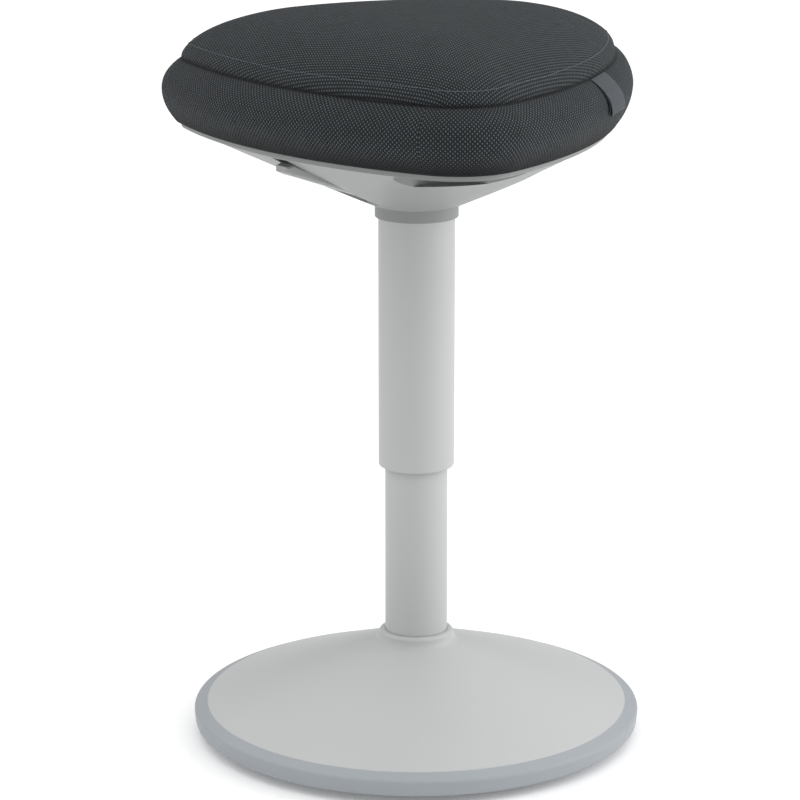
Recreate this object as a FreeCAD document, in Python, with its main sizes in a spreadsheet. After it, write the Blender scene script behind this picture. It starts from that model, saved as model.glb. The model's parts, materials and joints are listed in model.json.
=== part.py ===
import FreeCAD, Part
import math
import os
import Sketcher

# Wobble stool with a gas lift, in millimetres and degrees.
# +Z is up, the origin is on the column axis at floor level, and the front of the seat points to -Y.

Vector = FreeCAD.Vector
Rotation = FreeCAD.Rotation
UP = Vector(0, 0, 1)

SIZES = {
    # Base: convex sole, rubber rim, spun dome and cast weight
    "sole_flat_radius": 75,
    "sole_rocker_radius": 676,
    "sole_inset": 20.5,
    "sole_thickness": 3,
    "pan_thickness": 2,
    "base_radius": 180.5,
    "rim_shoulder_height": 20.2,
    "rim_foot_height": 8,
    "rim_foot_inset": 9.5,
    "rim_draft": 1.2,
    "rim_shelf_height": 14,
    "rim_shelf_width": 4,
    "rim_set_down": 0.4,
    "rim_edge_fillet": 3,
    "dome_inset": 10.5,
    "dome_edge_height": 24.6,
    "dome_shoulder_height": 75.4,
    "dome_wall": 1.5,
    "dome_edge_fillet": 1.2,
    "neck_radius": 30,
    "neck_height": 83.5,
    "neck_lip_fillet": 3,
    "neck_foot_fillet": 7,
    "weight_inset": 30.5,
    "weight_thickness": 6,
    "weight_hub_foot_radius": 60,
    "weight_hub_radius": 48,
    "weight_top_height": 54,
    "foot_plate_radius": 46,
    "foot_plate_thickness": 6,
    "foot_bolt_circle_radius": 36,
    "foot_bolt_radius": 4,
    "foot_bolt_length": 22,
    "foot_bolt_head_height": 5.3,
    "foot_bolt_head_radius": 7.5,
    "foot_washer_radius": 8,
    "foot_washer_thickness": 1.6,
    # Column: lower tube, guide, thrust bearing and gas spring
    "tube_radius": 25,
    "tube_wall": 2,
    "tube_top_height": 418,
    "bushing_length": 100,
    "bushing_flange_radius": 24.8,
    "bushing_flange_thickness": 3,
    "anchor_height": 13.5,
    "anchor_thickness": 5,
    "race_inner_radius": 6,
    "race_outer_radius": 14,
    "race_thickness": 2,
    "ball_radius": 2,
    "ball_circle_radius": 10,
    "ball_play": 0.05,
    "cage_thickness": 1.6,
    "cage_width": 5,
    "buffer_radius": 12,
    "buffer_height": 10,
    "rod_radius": 5,
    "rod_bottom_height": 9,
    "rod_neck_radius": 4,
    "rod_top_height": 262,
    "clip_radius": 9,
    "clip_thickness": 1.5,
    "piston_height": 244,
    "piston_thickness": 12,
    "piston_seal_depth": 1.8,
    "piston_seal_width": 3,
    "piston_nut_height": 4.5,
    "piston_nut_radius": 5.8,
    "cylinder_radius": 14,
    "cylinder_bore_radius": 11.5,
    "cylinder_bottom_height": 40,
    "taper_start_rise": 7,
    "taper_length": 45,
    "taper_top_radius": 13,
    "cylinder_cap_thickness": 4,
    "rod_guide_length": 14.5,
    "rod_seal_length": 5,
    "housing_length": 41,
    "valve_stem_radius": 2.5,
    "valve_stem_length": 32,
    "valve_head_radius": 4,
    "valve_head_length": 14,
    "valve_nose_radius": 1.5,
    "valve_nose_height": 1.5,
    "valve_counterbore_depth": 7.5,
    "sleeve_radius": 30.25,
    "sleeve_wall": 2,
    "sleeve_bottom_height": 221,
    "sleeve_edge_fillet": 1.8,
    "glide_length": 13,
    "glide_inset": 1.5,
    # Clearances
    "running_clearance": 0.06,
    "piston_clearance": 0.1,
    "loose_clearance": 0.3,
    "fit_clearance": 0.05,
    "taper_clearance": 0.02,
    # Seat outline, a rounded triangle: corner centres, corner radius and side radius
    "seat_corner_reach": 145,
    "seat_corner_radius": 64,
    "seat_side_radius": 420,
    # Seat shell
    "collar_radius": 33,
    "collar_bottom_drop": 68,
    "collar_bore_clearance": 0.15,
    "sleeve_seat_drop": 56,
    "sleeve_stop_radius": 24,
    "sleeve_stop_thickness": 3,
    "neck_corner_reach": 1.5,
    "neck_corner_radius": 34.5,
    "neck_side_radius": 60,
    "shell_neck_drop": 58,
    "waist_corner_reach": 50,
    "waist_corner_radius": 92,
    "waist_side_radius": 300,
    "shell_waist_drop": 15.5,
    "shell_rim_drop": 4,
    "shell_rim_inset": 17,
    "shell_lip_inset": 15.5,
    "shell_wall": 3,
    "shell_floor_rise": 4,
    "grip_centre_reach": 163,
    "grip_radius": 51,
    "grip_floor_drop": 21,
    "grip_roof_drop": 5,
    "pan_wall": 2.2,
    "pocket_side_clearance": 1.3,
    "pocket_inner_radius": 45,
    "pocket_outer_radius": 139,
    "pocket_inner_roof_drop": 38,
    "pocket_middle_radius": 110,
    "pocket_middle_roof_drop": 9.5,
    "pocket_outer_roof_drop": 2.6,
    "boss_circle_radius": 98,
    "boss_radius": 7,
    "shell_screw_radius": 2,
    "shell_screw_head_radius": 4.5,
    "shell_screw_head_height": 2.5,
    "shell_screw_grip": 14,
    # Seat board, bracket and socket; a drop is a height below the board, a rise one above it
    "board_rise": 22,
    "board_thickness": 10,
    "board_inset": 14,
    "bracket_length": 130,
    "bracket_width": 90,
    "bracket_thickness": 3,
    "bracket_hole_x": 52,
    "bracket_hole_y": 34,
    "bracket_screw_radius": 3,
    "bracket_screw_head_radius": 5.5,
    "bracket_screw_head_height": 4,
    "tee_nut_radius": 4,
    "tee_nut_flange_radius": 9,
    "tee_nut_flange_thickness": 1.2,
    "cheek_inner_offset": 24,
    "cheek_thickness": 3,
    "cheek_back": 26,
    "cheek_front": 28,
    "cheek_bottom_drop": 42,
    "ear_back": 20,
    "ear_front": 58,
    "ear_bottom_drop": 24,
    "web_thickness": 4,
    "socket_radius": 20,
    "socket_bottom_drop": 62,
    # Lever, in a frame whose X axis runs out along the lever
    "lever_direction": 210,
    "lever_pivot_reach": 50,
    "lever_pivot_drop": 14.2,
    "lever_pin_radius": 3,
    "lever_pin_overhang": 4,
    "lever_clip_radius": 5,
    "lever_clip_thickness": 1.2,
    "lever_hub_radius": 6,
    "arm_thickness": 3,
    "arm_width": 9,
    "arm_nose_overhang": 2,
    "arm_slot_clearance": 1.5,
    "arm_slot_end_clearance": 6,
    "arm_landing_reach": 64,
    "arm_end_reach": 105,
    "handle_width": 15,
    "handle_root_reach": 50,
    "handle_root_drop": 48.7,
    "handle_root_thickness": 8.4,
    "handle_middle_reach": 84,
    "handle_middle_drop": 36,
    "handle_shoulder_reach": 124,
    "handle_shoulder_drop": 21.5,
    "handle_shoulder_thickness": 8.8,
    "handle_knob_reach": 131,
    "handle_knob_drop": 19.3,
    "handle_knob_thickness": 9.5,
    "handle_tip_reach": 137.5,
    "handle_tip_drop": 16,
    "handle_tip_thickness": 4.5,
    "handle_edge_fillet": 2.4,
    "lever_screw_radius": 1.5,
    "lever_screw_head_radius": 2.8,
    "lever_screw_head_height": 1.2,
    "lever_screw_length": 4,
    "lever_screw_first_reach": 76,
    "lever_screw_second_reach": 96,
    # Cushion
    "cushion_bottom_rise": 2,
    "cushion_bottom_inset": 10,
    "cushion_widest_rise": 26,
    "cushion_seam_rise": 53,
    "cushion_seam_inset": 15.5,
    "cushion_crown": 43,
    "cover_thickness": 2,
    "tag_width": 38,
    "tag_thickness": 1.2,
    "tag_drop": 26,
    "tag_bulge_radius": 27.3,
    "tag_top_lift": 0.5,
    "tag_direction": -30,
}

FOOT_BOLTS = 4
BALLS = 12
CORNERS = 3
CORNER_STEP = 120
THROUGH = 1
LOWER_SHARES = (0, 0.2, 0.45, 0.7, 1)
UPPER_SHARES = (0.3, 0.55, 0.8, 1)
CROWN_SHARES = (0.95, 0.87, 0.76, 0.62, 0.46, 0.3, 0.14)
LOWER_POWER = 2
UPPER_POWER = 2.2
CROWN_POWER = 2.5
CROWN_ROUNDNESS = 1.8
HEX_SIDES = 6
DROPS = ("sleeve_seat", "collar_bottom", "shell_neck", "shell_waist", "shell_rim", "grip_floor",
         "grip_roof", "pocket_inner_roof", "pocket_middle_roof", "pocket_outer_roof", 
         "cheek_bottom", "ear_bottom", "socket_bottom", "lever_pivot", "handle_root", "handle_middle",
         "handle_shoulder", "handle_knob", "handle_tip")
RISES = ("cushion_bottom", "cushion_widest", "cushion_seam")
INSETS = ("sole", "rim_foot", "dome", "weight")

doc = FreeCAD.newDocument("WobbleStool")
nodes = []


class Size:
    """A length or an angle, with the sheet expression that gives it."""

    def __init__(self, value, text):
        self.value = value
        self.text = text

    def _join(self, other, sign, value):
        return Size(value, "(%s %s %s)" % (self.text, sign, as_size(other).text))

    def __add__(self, other):
        return self._join(other, "+", self.value + as_size(other).value)

    def __sub__(self, other):
        return self._join(other, "-", self.value - as_size(other).value)

    def __mul__(self, other):
        return self._join(other, "*", self.value * as_size(other).value)

    def __truediv__(self, other):
        return self._join(other, "/", self.value / as_size(other).value)

    def __neg__(self):
        return Size(-self.value, "(0 - %s)" % self.text)

    def __rsub__(self, other):
        return as_size(other) - self

    __radd__ = __add__
    __rmul__ = __mul__

    def root(self):
        return Size(math.sqrt(self.value), "sqrt(%s)" % self.text)


def as_size(number):
    if isinstance(number, Size):
        return number
    return Size(float(number), "(%r)" % float(number))


class Names:
    """The driving dimensions, read by name."""


def make_sheet():
    sheet = doc.addObject("Spreadsheet::Sheet", "Sizes")
    names = Names()
    for row, (alias, number) in enumerate(SIZES.items(), start=1):
        cell = "B%d" % row
        sheet.set("A%d" % row, alias)
        sheet.set(cell, str(number))
        sheet.setAlias(cell, alias)
        setattr(names, alias, Size(float(number), "Sizes.%s" % alias))
    doc.recompute()
    return names


S = make_sheet()


def follow_sizes():
    """Heights that follow one another up from the tube's top, and radii that follow the base's."""
    S.taper_start_height = S.tube_top_height + S.taper_start_rise
    S.cylinder_top_height = S.taper_start_height + S.taper_length
    S.board_bottom_height = S.cylinder_top_height + S.board_rise
    for name in DROPS:
        setattr(S, name + "_height", S.board_bottom_height - getattr(S, name + "_drop"))
    for name in RISES:
        setattr(S, name + "_height", S.board_bottom_height + getattr(S, name + "_rise"))
    for name in INSETS:
        setattr(S, name + "_radius", S.base_radius - getattr(S, name + "_inset"))


follow_sizes()


def bind(thing, **sizes):
    """Ties properties to sizes; a double underscore in a keyword stands for a dot."""
    for path, size in sizes.items():
        thing.setExpression(path.replace("__", "."), as_size(size).text)


def place(thing, x=0, y=0, z=0):
    """Puts an object at a place that is tied to sizes."""
    spot = [as_size(number) for number in (x, y, z)]
    thing.Placement = FreeCAD.Placement(Vector(*[size.value for size in spot]), thing.Placement.Rotation)
    for axis, size in zip("xyz", spot):
        thing.setExpression("Placement.Base.%s" % axis, size.text)
    return thing


def turn(thing, angle):
    """Turns an object that is placed at the origin about the column axis."""
    thing.Placement = FreeCAD.Placement(Vector(0, 0, 0), Rotation(UP, as_size(angle).value))
    thing.setExpression("Placement.Rotation.Angle", as_size(angle).text)
    return thing


def along_lever(*solids):
    """Turns solids from the lever's own frame into the seat's."""
    return turn(group(solids), S.lever_direction)


def node(thing, label):
    """Names the finished object of a sub-part."""
    thing.Label = label
    nodes.append(thing)
    return thing


def add(kind, **sizes):
    thing = doc.addObject(kind, kind.split("::")[1])
    bind(thing, **sizes)
    return thing


def cylinder(radius, bottom, top, x=0, y=0):
    solid = add("Part::Cylinder", Radius=radius, Height=as_size(top) - bottom)
    return place(solid, x, y, bottom)


def box(x_range, y_range, z_range):
    spans = [(as_size(low), as_size(high)) for low, high in (x_range, y_range, z_range)]
    lengths = [high - low for low, high in spans]
    solid = add("Part::Box", Length=lengths[0], Width=lengths[1], Height=lengths[2])
    return place(solid, *[low for low, high in spans])


def hexagon(radius, bottom, top, x=0, y=0):
    solid = add("Part::Prism", Circumradius=radius, Height=as_size(top) - bottom)
    solid.Polygon = HEX_SIDES
    return place(solid, x, y, bottom)


def fuse(*solids):
    joined = doc.addObject("Part::MultiFuse", "Fuse")
    joined.Shapes = list(solids)
    joined.Refine = True
    return joined


def cut(base, *tools):
    for tool in tools:
        step = doc.addObject("Part::Cut", "Cut")
        step.Base = base
        step.Tool = tool
        base = step
    return base


def common(first, second):
    shared = doc.addObject("Part::Common", "Common")
    shared.Base = first
    shared.Tool = second
    return shared


def group(solids):
    together = doc.addObject("Part::Compound", "Group")
    together.Links = list(solids)
    return together


def around(count, radius, start=0):
    """Places, evenly spaced on a circle about the column axis, as pairs of sizes."""
    spots = []
    for index in range(count):
        angle = math.radians(start + index * 360 / count)
        spots.append((radius * math.cos(angle), radius * math.sin(angle)))
    return spots


def pin_point(sketch, index, end, x, y):
    """Fixes one end of a sketch line by its distances from the origin."""
    x, y = as_size(x), as_size(y)
    for kind, axis, size in (("DistanceX", -2, x), ("DistanceY", -1, y)):
        if abs(size.value) < 1e-9:
            sketch.addConstraint(Sketcher.Constraint("PointOnObject", index, end, axis))
            continue
        row = sketch.addConstraint(Sketcher.Constraint(kind, -1, 1, index, end, size.value))
        sketch.setExpression("Constraints[%d]" % row, size.text)


def arc_between(start, end, radius, side):
    """An arc from start to end; side 1 has its centre on the left of the way there."""
    chord = end - start
    left = Vector(-chord.y, chord.x, 0).normalize()
    reach = math.sqrt(radius ** 2 - (chord.Length / 2) ** 2)
    centre = (start + end) * 0.5 + left * (reach * side)
    low, high = (start, end) if side > 0 else (end, start)
    angles = [math.atan2(spot.y - centre.y, spot.x - centre.x) for spot in (low, high)]
    return Part.ArcOfCircle(Part.Circle(centre, UP, radius), *angles)


def draw_outline(sketch, points):
    """Draws a closed outline; a point is (x, y), or (x, y, radius, side) where an arc leaves it."""
    spots = [Vector(as_size(point[0]).value, as_size(point[1]).value, 0) for point in points]
    count = len(points)
    for index, point in enumerate(points):
        start, end = spots[index], spots[(index + 1) % count]
        if len(point) == 2:
            sketch.addGeometry(Part.LineSegment(start, end), False)
        else:
            sketch.addGeometry(arc_between(start, end, as_size(point[2]).value, point[3]), False)
    for index, point in enumerate(points):
        is_arc = len(point) == 4
        first, last = (2, 1) if is_arc and point[3] < 0 else (1, 2)
        after = points[(index + 1) % count]
        pin_point(sketch, index, first, point[0], point[1])
        pin_point(sketch, index, last, after[0], after[1])
        if is_arc:
            row = sketch.addConstraint(Sketcher.Constraint("Radius", index, as_size(point[2]).value))
            sketch.setExpression("Constraints[%d]" % row, as_size(point[2]).text)


def body_sketch(body, role):
    """A sketch on one of the body's own origin planes."""
    plane = [feature for feature in body.Origin.OriginFeatures if feature.Role == role][0]
    sketch = body.newObject("Sketcher::SketchObject", "Sketch")
    sketch.AttachmentSupport = [(plane, "")]
    sketch.MapMode = "FlatFace"
    return sketch


def turned_body(points):
    """A body of revolution about the column axis, from an outline in radius and height."""
    body = doc.addObject("PartDesign::Body", "Body")
    sketch = body_sketch(body, "XZ_Plane")
    draw_outline(sketch, points)
    spin = body.newObject("PartDesign::Revolution", "Revolution")
    spin.Profile = sketch
    spin.ReferenceAxis = (sketch, ["V_Axis"])
    spin.Angle = 360
    sketch.Visibility = False
    return body


def turned(label, points):
    """A sub-part that is a body of revolution."""
    return node(turned_body(points), label)


def ring(label, inner, outer, bottom, top):
    """A plain turned ring."""
    return turned(label, [(inner, bottom), (outer, bottom), (outer, top), (inner, top)])


def circle_edges(shape, radius, height):
    """The names of the edges that are circles of this radius at this height."""
    names = []
    for index, edge in enumerate(shape.Edges, start=1):
        curve = edge.Curve
        if not isinstance(curve, Part.Circle):
            continue
        if abs(curve.Radius - radius.value) < 1e-3 and abs(curve.Center.z - height.value) < 1e-3:
            names.append("Edge%d" % index)
    return names


def round_edges(body, radius, *circles):
    """Rounds the circular edges of a turned body."""
    doc.recompute()
    base = body.Tip
    names = [name for spot in circles for name in circle_edges(base.Shape, *[as_size(s) for s in spot])]
    fillet = body.newObject("PartDesign::Fillet", "Fillet")
    fillet.Base = (base, names)
    bind(fillet, Radius=radius)
    return fillet


def padded_body(points, width):
    """A body made by padding an outline in X and Z to both sides of its plane."""
    body = doc.addObject("PartDesign::Body", "Body")
    sketch = body_sketch(body, "XZ_Plane")
    draw_outline(sketch, points)
    pad = body.newObject("PartDesign::Pad", "Pad")
    pad.Profile = sketch
    pad.Midplane = True
    bind(pad, Length=width)
    sketch.Visibility = False
    return body


def seat_outline(reach, corner_radius, side_radius, height):
    """A closed rounded triangle of six tangent arcs, with one corner towards -Y."""
    sketch = doc.addObject("Sketcher::SketchObject", "Outline")
    gap = side_radius.value - corner_radius.value
    push = (math.sqrt(4 * gap ** 2 - 3 * reach.value ** 2) - reach.value) / 2

    def heading(angle):
        return Vector(math.sin(angle), -math.cos(angle), 0)

    step = math.radians(CORNER_STEP)
    for corner in range(CORNERS):
        corner_angle = step * corner
        side_angle = corner_angle + step / 2
        corner_centre = heading(corner_angle) * reach.value
        side_centre = heading(side_angle) * -push
        tie = corner_centre - side_centre
        lean = math.atan2(tie.x, -tie.y) - side_angle
        lean = (lean + math.pi) % (2 * math.pi) - math.pi
        half = step / 2 + lean
        quarter = math.pi / 2
        for centre, radius, low, high in (
                (corner_centre, corner_radius.value, corner_angle - half, corner_angle + half),
                (side_centre, side_radius.value, side_angle + lean, side_angle - lean)):
            circle = Part.Circle(centre, UP, radius)
            sketch.addGeometry(Part.ArcOfCircle(circle, low - quarter, high - quarter), False)
    arcs = 2 * CORNERS
    for index in range(arcs):
        sketch.addConstraint(Sketcher.Constraint("Tangent", index, 2, (index + 1) % arcs, 1))
    for corner in range(CORNERS):
        place_on = heading(step * corner)
        for offset, radius in ((0, corner_radius), (1, side_radius)):
            row = sketch.addConstraint(Sketcher.Constraint("Radius", 2 * corner + offset, radius.value))
            sketch.setExpression("Constraints[%d]" % row, radius.text)
        pin_point(sketch, 2 * corner, 3, reach * place_on.x, reach * place_on.y)
    return place(sketch, 0, 0, height)


def inset_outline(inset, height):
    """The seat's widest outline, drawn in by an inset."""
    return seat_outline(S.seat_corner_reach, S.seat_corner_radius - inset, S.seat_side_radius - inset,
                        height)


def scaled_outline(inset, share, height):
    """The drawn-in outline, shrunk towards the column axis."""
    return seat_outline(S.seat_corner_reach * share, (S.seat_corner_radius - inset) * share,
                        (S.seat_side_radius - inset) * share, height)


def loft(sections, ruled=False):
    solid = doc.addObject("Part::Loft", "Loft")
    solid.Sections = sections
    solid.Solid = True
    solid.Ruled = ruled
    return solid


def prism(outline, thickness):
    solid = doc.addObject("Part::Extrusion", "Prism")
    solid.Base = outline
    solid.DirMode = "Normal"
    solid.Solid = True
    bind(solid, LengthFwd=thickness)
    return solid


# Heights and radii that several pieces share

def sole_rise(radius):
    """How far the convex sole has risen from the floor at a radius."""
    run = radius - S.sole_flat_radius
    return S.sole_rocker_radius - (S.sole_rocker_radius * S.sole_rocker_radius - run * run).root()


pan_bottom = S.sole_thickness
pan_top = S.sole_thickness + S.pan_thickness
dome_slope = (S.dome_shoulder_height - S.dome_edge_height) / (S.dome_radius - S.neck_radius)
dome_wall_drop = S.dome_wall * (dome_slope * dome_slope + 1).root()
tube_bore = S.tube_radius - S.tube_wall
plate_bottom = S.weight_top_height
plate_top = plate_bottom + S.foot_plate_thickness
washer_top = plate_top + S.foot_washer_thickness
anchor_top = S.anchor_height + S.anchor_thickness
lower_race_top = anchor_top + S.race_thickness
ball_centre = lower_race_top + S.ball_play + S.ball_radius
upper_race_bottom = ball_centre + S.ball_radius + S.ball_play
upper_race_top = upper_race_bottom + S.race_thickness
clip_top = S.anchor_height - S.fit_clearance
clip_bottom = clip_top - S.clip_thickness
piston_top = S.piston_height + S.piston_thickness
sleeve_bore = S.sleeve_radius - S.sleeve_wall
collar_bore = S.sleeve_radius + S.collar_bore_clearance
board_top = S.board_bottom_height + S.board_thickness
bracket_bottom = S.board_bottom_height - S.bracket_thickness
cylinder_inner_top = S.cylinder_top_height - S.cylinder_cap_thickness
arm_bottom = S.lever_pivot_height - S.arm_thickness / 2
valve_top = arm_bottom - S.loose_clearance
valve_head_bottom = valve_top - S.valve_head_length


def dome_top(radius):
    """Height of the dome's outer face on its straight slope."""
    return S.dome_edge_height + dome_slope * (S.dome_radius - radius)


def taper_radius(height):
    """Radius of the cylinder's taper at a height."""
    slope = (S.cylinder_radius - S.taper_top_radius) / (S.cylinder_top_height - S.taper_start_height)
    return S.cylinder_radius - slope * (height - S.taper_start_height)


# Base

def make_base():
    flat, rocker = S.sole_flat_radius, S.sole_rocker_radius
    sole_edge = sole_rise(S.sole_radius)
    turned("rocker_sole", [
        (0, 0), (flat, 0, rocker, 1), (S.sole_radius, sole_edge),
        (S.sole_radius, sole_edge + pan_bottom, rocker, -1), (flat, pan_bottom), (0, pan_bottom)])
    turned("bottom_pan", [
        (0, pan_bottom), (flat, pan_bottom, rocker, 1), (S.sole_radius, sole_edge + pan_bottom),
        (S.sole_radius, sole_edge + pan_top, rocker, -1), (flat, pan_top), (0, pan_top)])
    shelf_inner = S.dome_radius - S.rim_shelf_width
    rim = turned("rubber_rim", [
        (S.dome_radius, S.dome_edge_height - S.rim_set_down),
        (S.dome_radius, S.rim_shelf_height),
        (shelf_inner, S.rim_shelf_height),
        (S.sole_radius, sole_edge + pan_top),
        (S.sole_radius, sole_edge, rocker, 1),
        (S.rim_foot_radius, sole_rise(S.rim_foot_radius)),
        (S.base_radius - S.rim_draft, S.rim_foot_height),
        (S.base_radius, S.rim_shoulder_height)])
    round_edges(rim, S.rim_edge_fillet, (S.base_radius, S.rim_shoulder_height),
                (S.base_radius - S.rim_draft, S.rim_foot_height))
    skirt_inner = S.dome_radius - S.dome_wall
    neck_bore = S.tube_radius + S.loose_clearance
    dome = turned("base_dome", [
        (neck_bore, S.neck_height), (S.neck_radius, S.neck_height),
        (S.neck_radius, S.dome_shoulder_height), (S.dome_radius, S.dome_edge_height),
        (S.dome_radius, S.rim_shelf_height), (skirt_inner, S.rim_shelf_height),
        (skirt_inner, dome_top(skirt_inner) - dome_wall_drop),
        (neck_bore, dome_top(neck_bore) - dome_wall_drop)])
    round_edges(dome, S.neck_lip_fillet, (S.neck_radius, S.neck_height))
    round_edges(dome, S.neck_foot_fillet, (S.neck_radius, S.dome_shoulder_height))
    round_edges(dome, S.dome_edge_fillet, (S.dome_radius, S.dome_edge_height))
    make_weight()
    make_foot_plate()


def make_weight():
    """The cast weight on the pan: a dished plate with a hub for the tube and threaded holes."""
    rocker = S.sole_rocker_radius
    bore = S.tube_radius + S.loose_clearance
    edge_bottom = sole_rise(S.weight_radius) + pan_top
    plate_top_height = pan_top + S.weight_thickness
    body = turned_body([
        (bore, pan_top), (S.sole_flat_radius, pan_top, rocker, 1), (S.weight_radius, edge_bottom),
        (S.weight_radius, edge_bottom + S.weight_thickness, rocker, -1),
        (S.sole_flat_radius, plate_top_height), (S.weight_hub_foot_radius, plate_top_height),
        (S.weight_hub_radius, S.weight_top_height), (bore, S.weight_top_height)])
    doc.recompute()
    drill_circle(body, FOOT_BOLTS, S.foot_bolt_circle_radius, S.foot_bolt_radius + S.fit_clearance,
                 plate_bottom, S.foot_bolt_length)
    node(body, "cast_weight")


def drill_circle(body, count, circle_radius, hole_radius, top, depth):
    """Drills a ring of holes downwards from a height into a body."""
    before = body.Shape.Volume
    sketch = body_sketch(body, "XY_Plane")
    sketch.setExpression("AttachmentOffset.Base.z", as_size(top).text)
    for index, (x, y) in enumerate(around(count, circle_radius)):
        centre = Vector(as_size(x).value, as_size(y).value, 0)
        sketch.addGeometry(Part.Circle(centre, UP, as_size(hole_radius).value), False)
        pin_point(sketch, index, 3, x, y)
        row = sketch.addConstraint(Sketcher.Constraint("Radius", index, as_size(hole_radius).value))
        sketch.setExpression("Constraints[%d]" % row, as_size(hole_radius).text)
    pocket = body.newObject("PartDesign::Pocket", "Pocket")
    pocket.Profile = sketch
    bind(pocket, Length=depth)
    doc.recompute()
    if not body.Shape.Volume < before:
        raise RuntimeError("the holes in %s remove nothing" % body.Label)


def make_foot_plate():
    """The welded plate at the tube's foot, its bolts and washers."""
    plate = cylinder(S.foot_plate_radius, plate_bottom, plate_top)
    holes = [cylinder(S.tube_radius, plate_bottom - THROUGH, plate_top + THROUGH)]
    spots = around(FOOT_BOLTS, S.foot_bolt_circle_radius)
    washers = []
    bolts = []
    for x, y in spots:
        holes.append(cylinder(S.foot_bolt_radius + S.loose_clearance, plate_bottom - THROUGH,
                              plate_top + THROUGH, x, y))
        washer = cylinder(S.foot_washer_radius, plate_top, washer_top, x, y)
        washers.append(cut(washer, cylinder(S.foot_bolt_radius + S.loose_clearance, plate_top - THROUGH,
                                            washer_top + THROUGH, x, y)))
        head = hexagon(S.foot_bolt_head_radius, washer_top, washer_top + S.foot_bolt_head_height, x, y)
        shank = cylinder(S.foot_bolt_radius, plate_bottom - S.foot_bolt_length + S.loose_clearance,
                         washer_top, x, y)
        bolts.append(fuse(head, shank))
    node(cut(plate, *holes), "foot_plate")
    node(group(washers), "foot_washers")
    node(group(bolts), "foot_bolts")


# Column

def make_column():
    ring("lower_tube", tube_bore, S.tube_radius, pan_top, S.tube_top_height)
    bushing_top = S.tube_top_height + S.bushing_flange_thickness
    bushing_bore = S.cylinder_radius + S.running_clearance
    bushing_outer = tube_bore - S.fit_clearance
    bushing_bottom = S.tube_top_height - S.bushing_length
    turned("guide_bushing", [
        (bushing_bore, bushing_bottom), (bushing_outer, bushing_bottom), (bushing_outer, S.tube_top_height),
        (S.bushing_flange_radius, S.tube_top_height), (S.bushing_flange_radius, bushing_top),
        (bushing_bore, bushing_top)])
    ring("rod_anchor", S.rod_radius + S.running_clearance, tube_bore, S.anchor_height, anchor_top)
    make_bearing()
    make_rod()
    make_cylinder()
    sleeve = ring("column_sleeve", sleeve_bore, S.sleeve_radius, S.sleeve_bottom_height,
                  S.sleeve_seat_height)
    round_edges(sleeve, S.sleeve_edge_fillet, (S.sleeve_radius, S.sleeve_bottom_height))
    glide_bottom = S.sleeve_bottom_height + S.glide_inset
    ring("sleeve_glide", S.tube_radius + S.running_clearance, sleeve_bore, glide_bottom,
         glide_bottom + S.glide_length)


def make_bearing():
    """Thrust bearing that carries the rod: two races, a cage and its balls."""
    ring("bearing_lower_race", S.race_inner_radius, S.race_outer_radius, anchor_top, lower_race_top)
    half_width = S.cage_width / 2
    cage_bottom = ball_centre - S.cage_thickness / 2
    cage_top = ball_centre + S.cage_thickness / 2
    cage = cut(cylinder(S.ball_circle_radius + half_width, cage_bottom, cage_top),
               cylinder(S.ball_circle_radius - half_width, cage_bottom - THROUGH, cage_top + THROUGH))
    balls = []
    windows = []
    for x, y in around(BALLS, S.ball_circle_radius):
        ball = add("Part::Sphere", Radius=S.ball_radius)
        balls.append(place(ball, x, y, ball_centre))
        windows.append(cylinder(S.ball_radius + S.ball_play, cage_bottom - THROUGH,
                                cage_top + THROUGH, x, y))
    node(cut(cage, *windows), "bearing_cage")
    node(group(balls), "bearing_balls")
    ring("bearing_upper_race", S.rod_radius + S.fit_clearance, S.race_outer_radius, upper_race_bottom,
         upper_race_top)


def make_rod():
    """Piston rod, its clip, buffer, piston, seal and nut."""
    turned("piston_rod", [
        (0, S.rod_bottom_height), (S.rod_radius, S.rod_bottom_height), (S.rod_radius, clip_bottom),
        (S.rod_neck_radius, clip_bottom), (S.rod_neck_radius, clip_top), (S.rod_radius, clip_top),
        (S.rod_radius, S.piston_height), (S.rod_neck_radius, S.piston_height),
        (S.rod_neck_radius, S.rod_top_height), (0, S.rod_top_height)])
    ring("rod_clip", S.rod_neck_radius, S.clip_radius, clip_bottom, clip_top)
    ring("bump_buffer", S.rod_radius + S.fit_clearance, S.buffer_radius, upper_race_top,
         upper_race_top + S.buffer_height)
    piston_radius = S.cylinder_bore_radius - S.piston_clearance
    groove_radius = piston_radius - S.piston_seal_depth
    groove_bottom = S.piston_height + (S.piston_thickness - S.piston_seal_width) / 2
    groove_top = groove_bottom + S.piston_seal_width
    turned("piston", [
        (S.rod_neck_radius, S.piston_height), (piston_radius, S.piston_height),
        (piston_radius, groove_bottom), (groove_radius, groove_bottom), (groove_radius, groove_top),
        (piston_radius, groove_top), (piston_radius, piston_top), (S.rod_neck_radius, piston_top)])
    ring("piston_seal", groove_radius, S.cylinder_bore_radius - S.running_clearance, groove_bottom,
         groove_top)
    nut = hexagon(S.piston_nut_radius, piston_top, piston_top + S.piston_nut_height)
    hole = cylinder(S.rod_neck_radius, piston_top - THROUGH,
                    piston_top + S.piston_nut_height + THROUGH)
    node(cut(nut, hole), "piston_nut")


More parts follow.
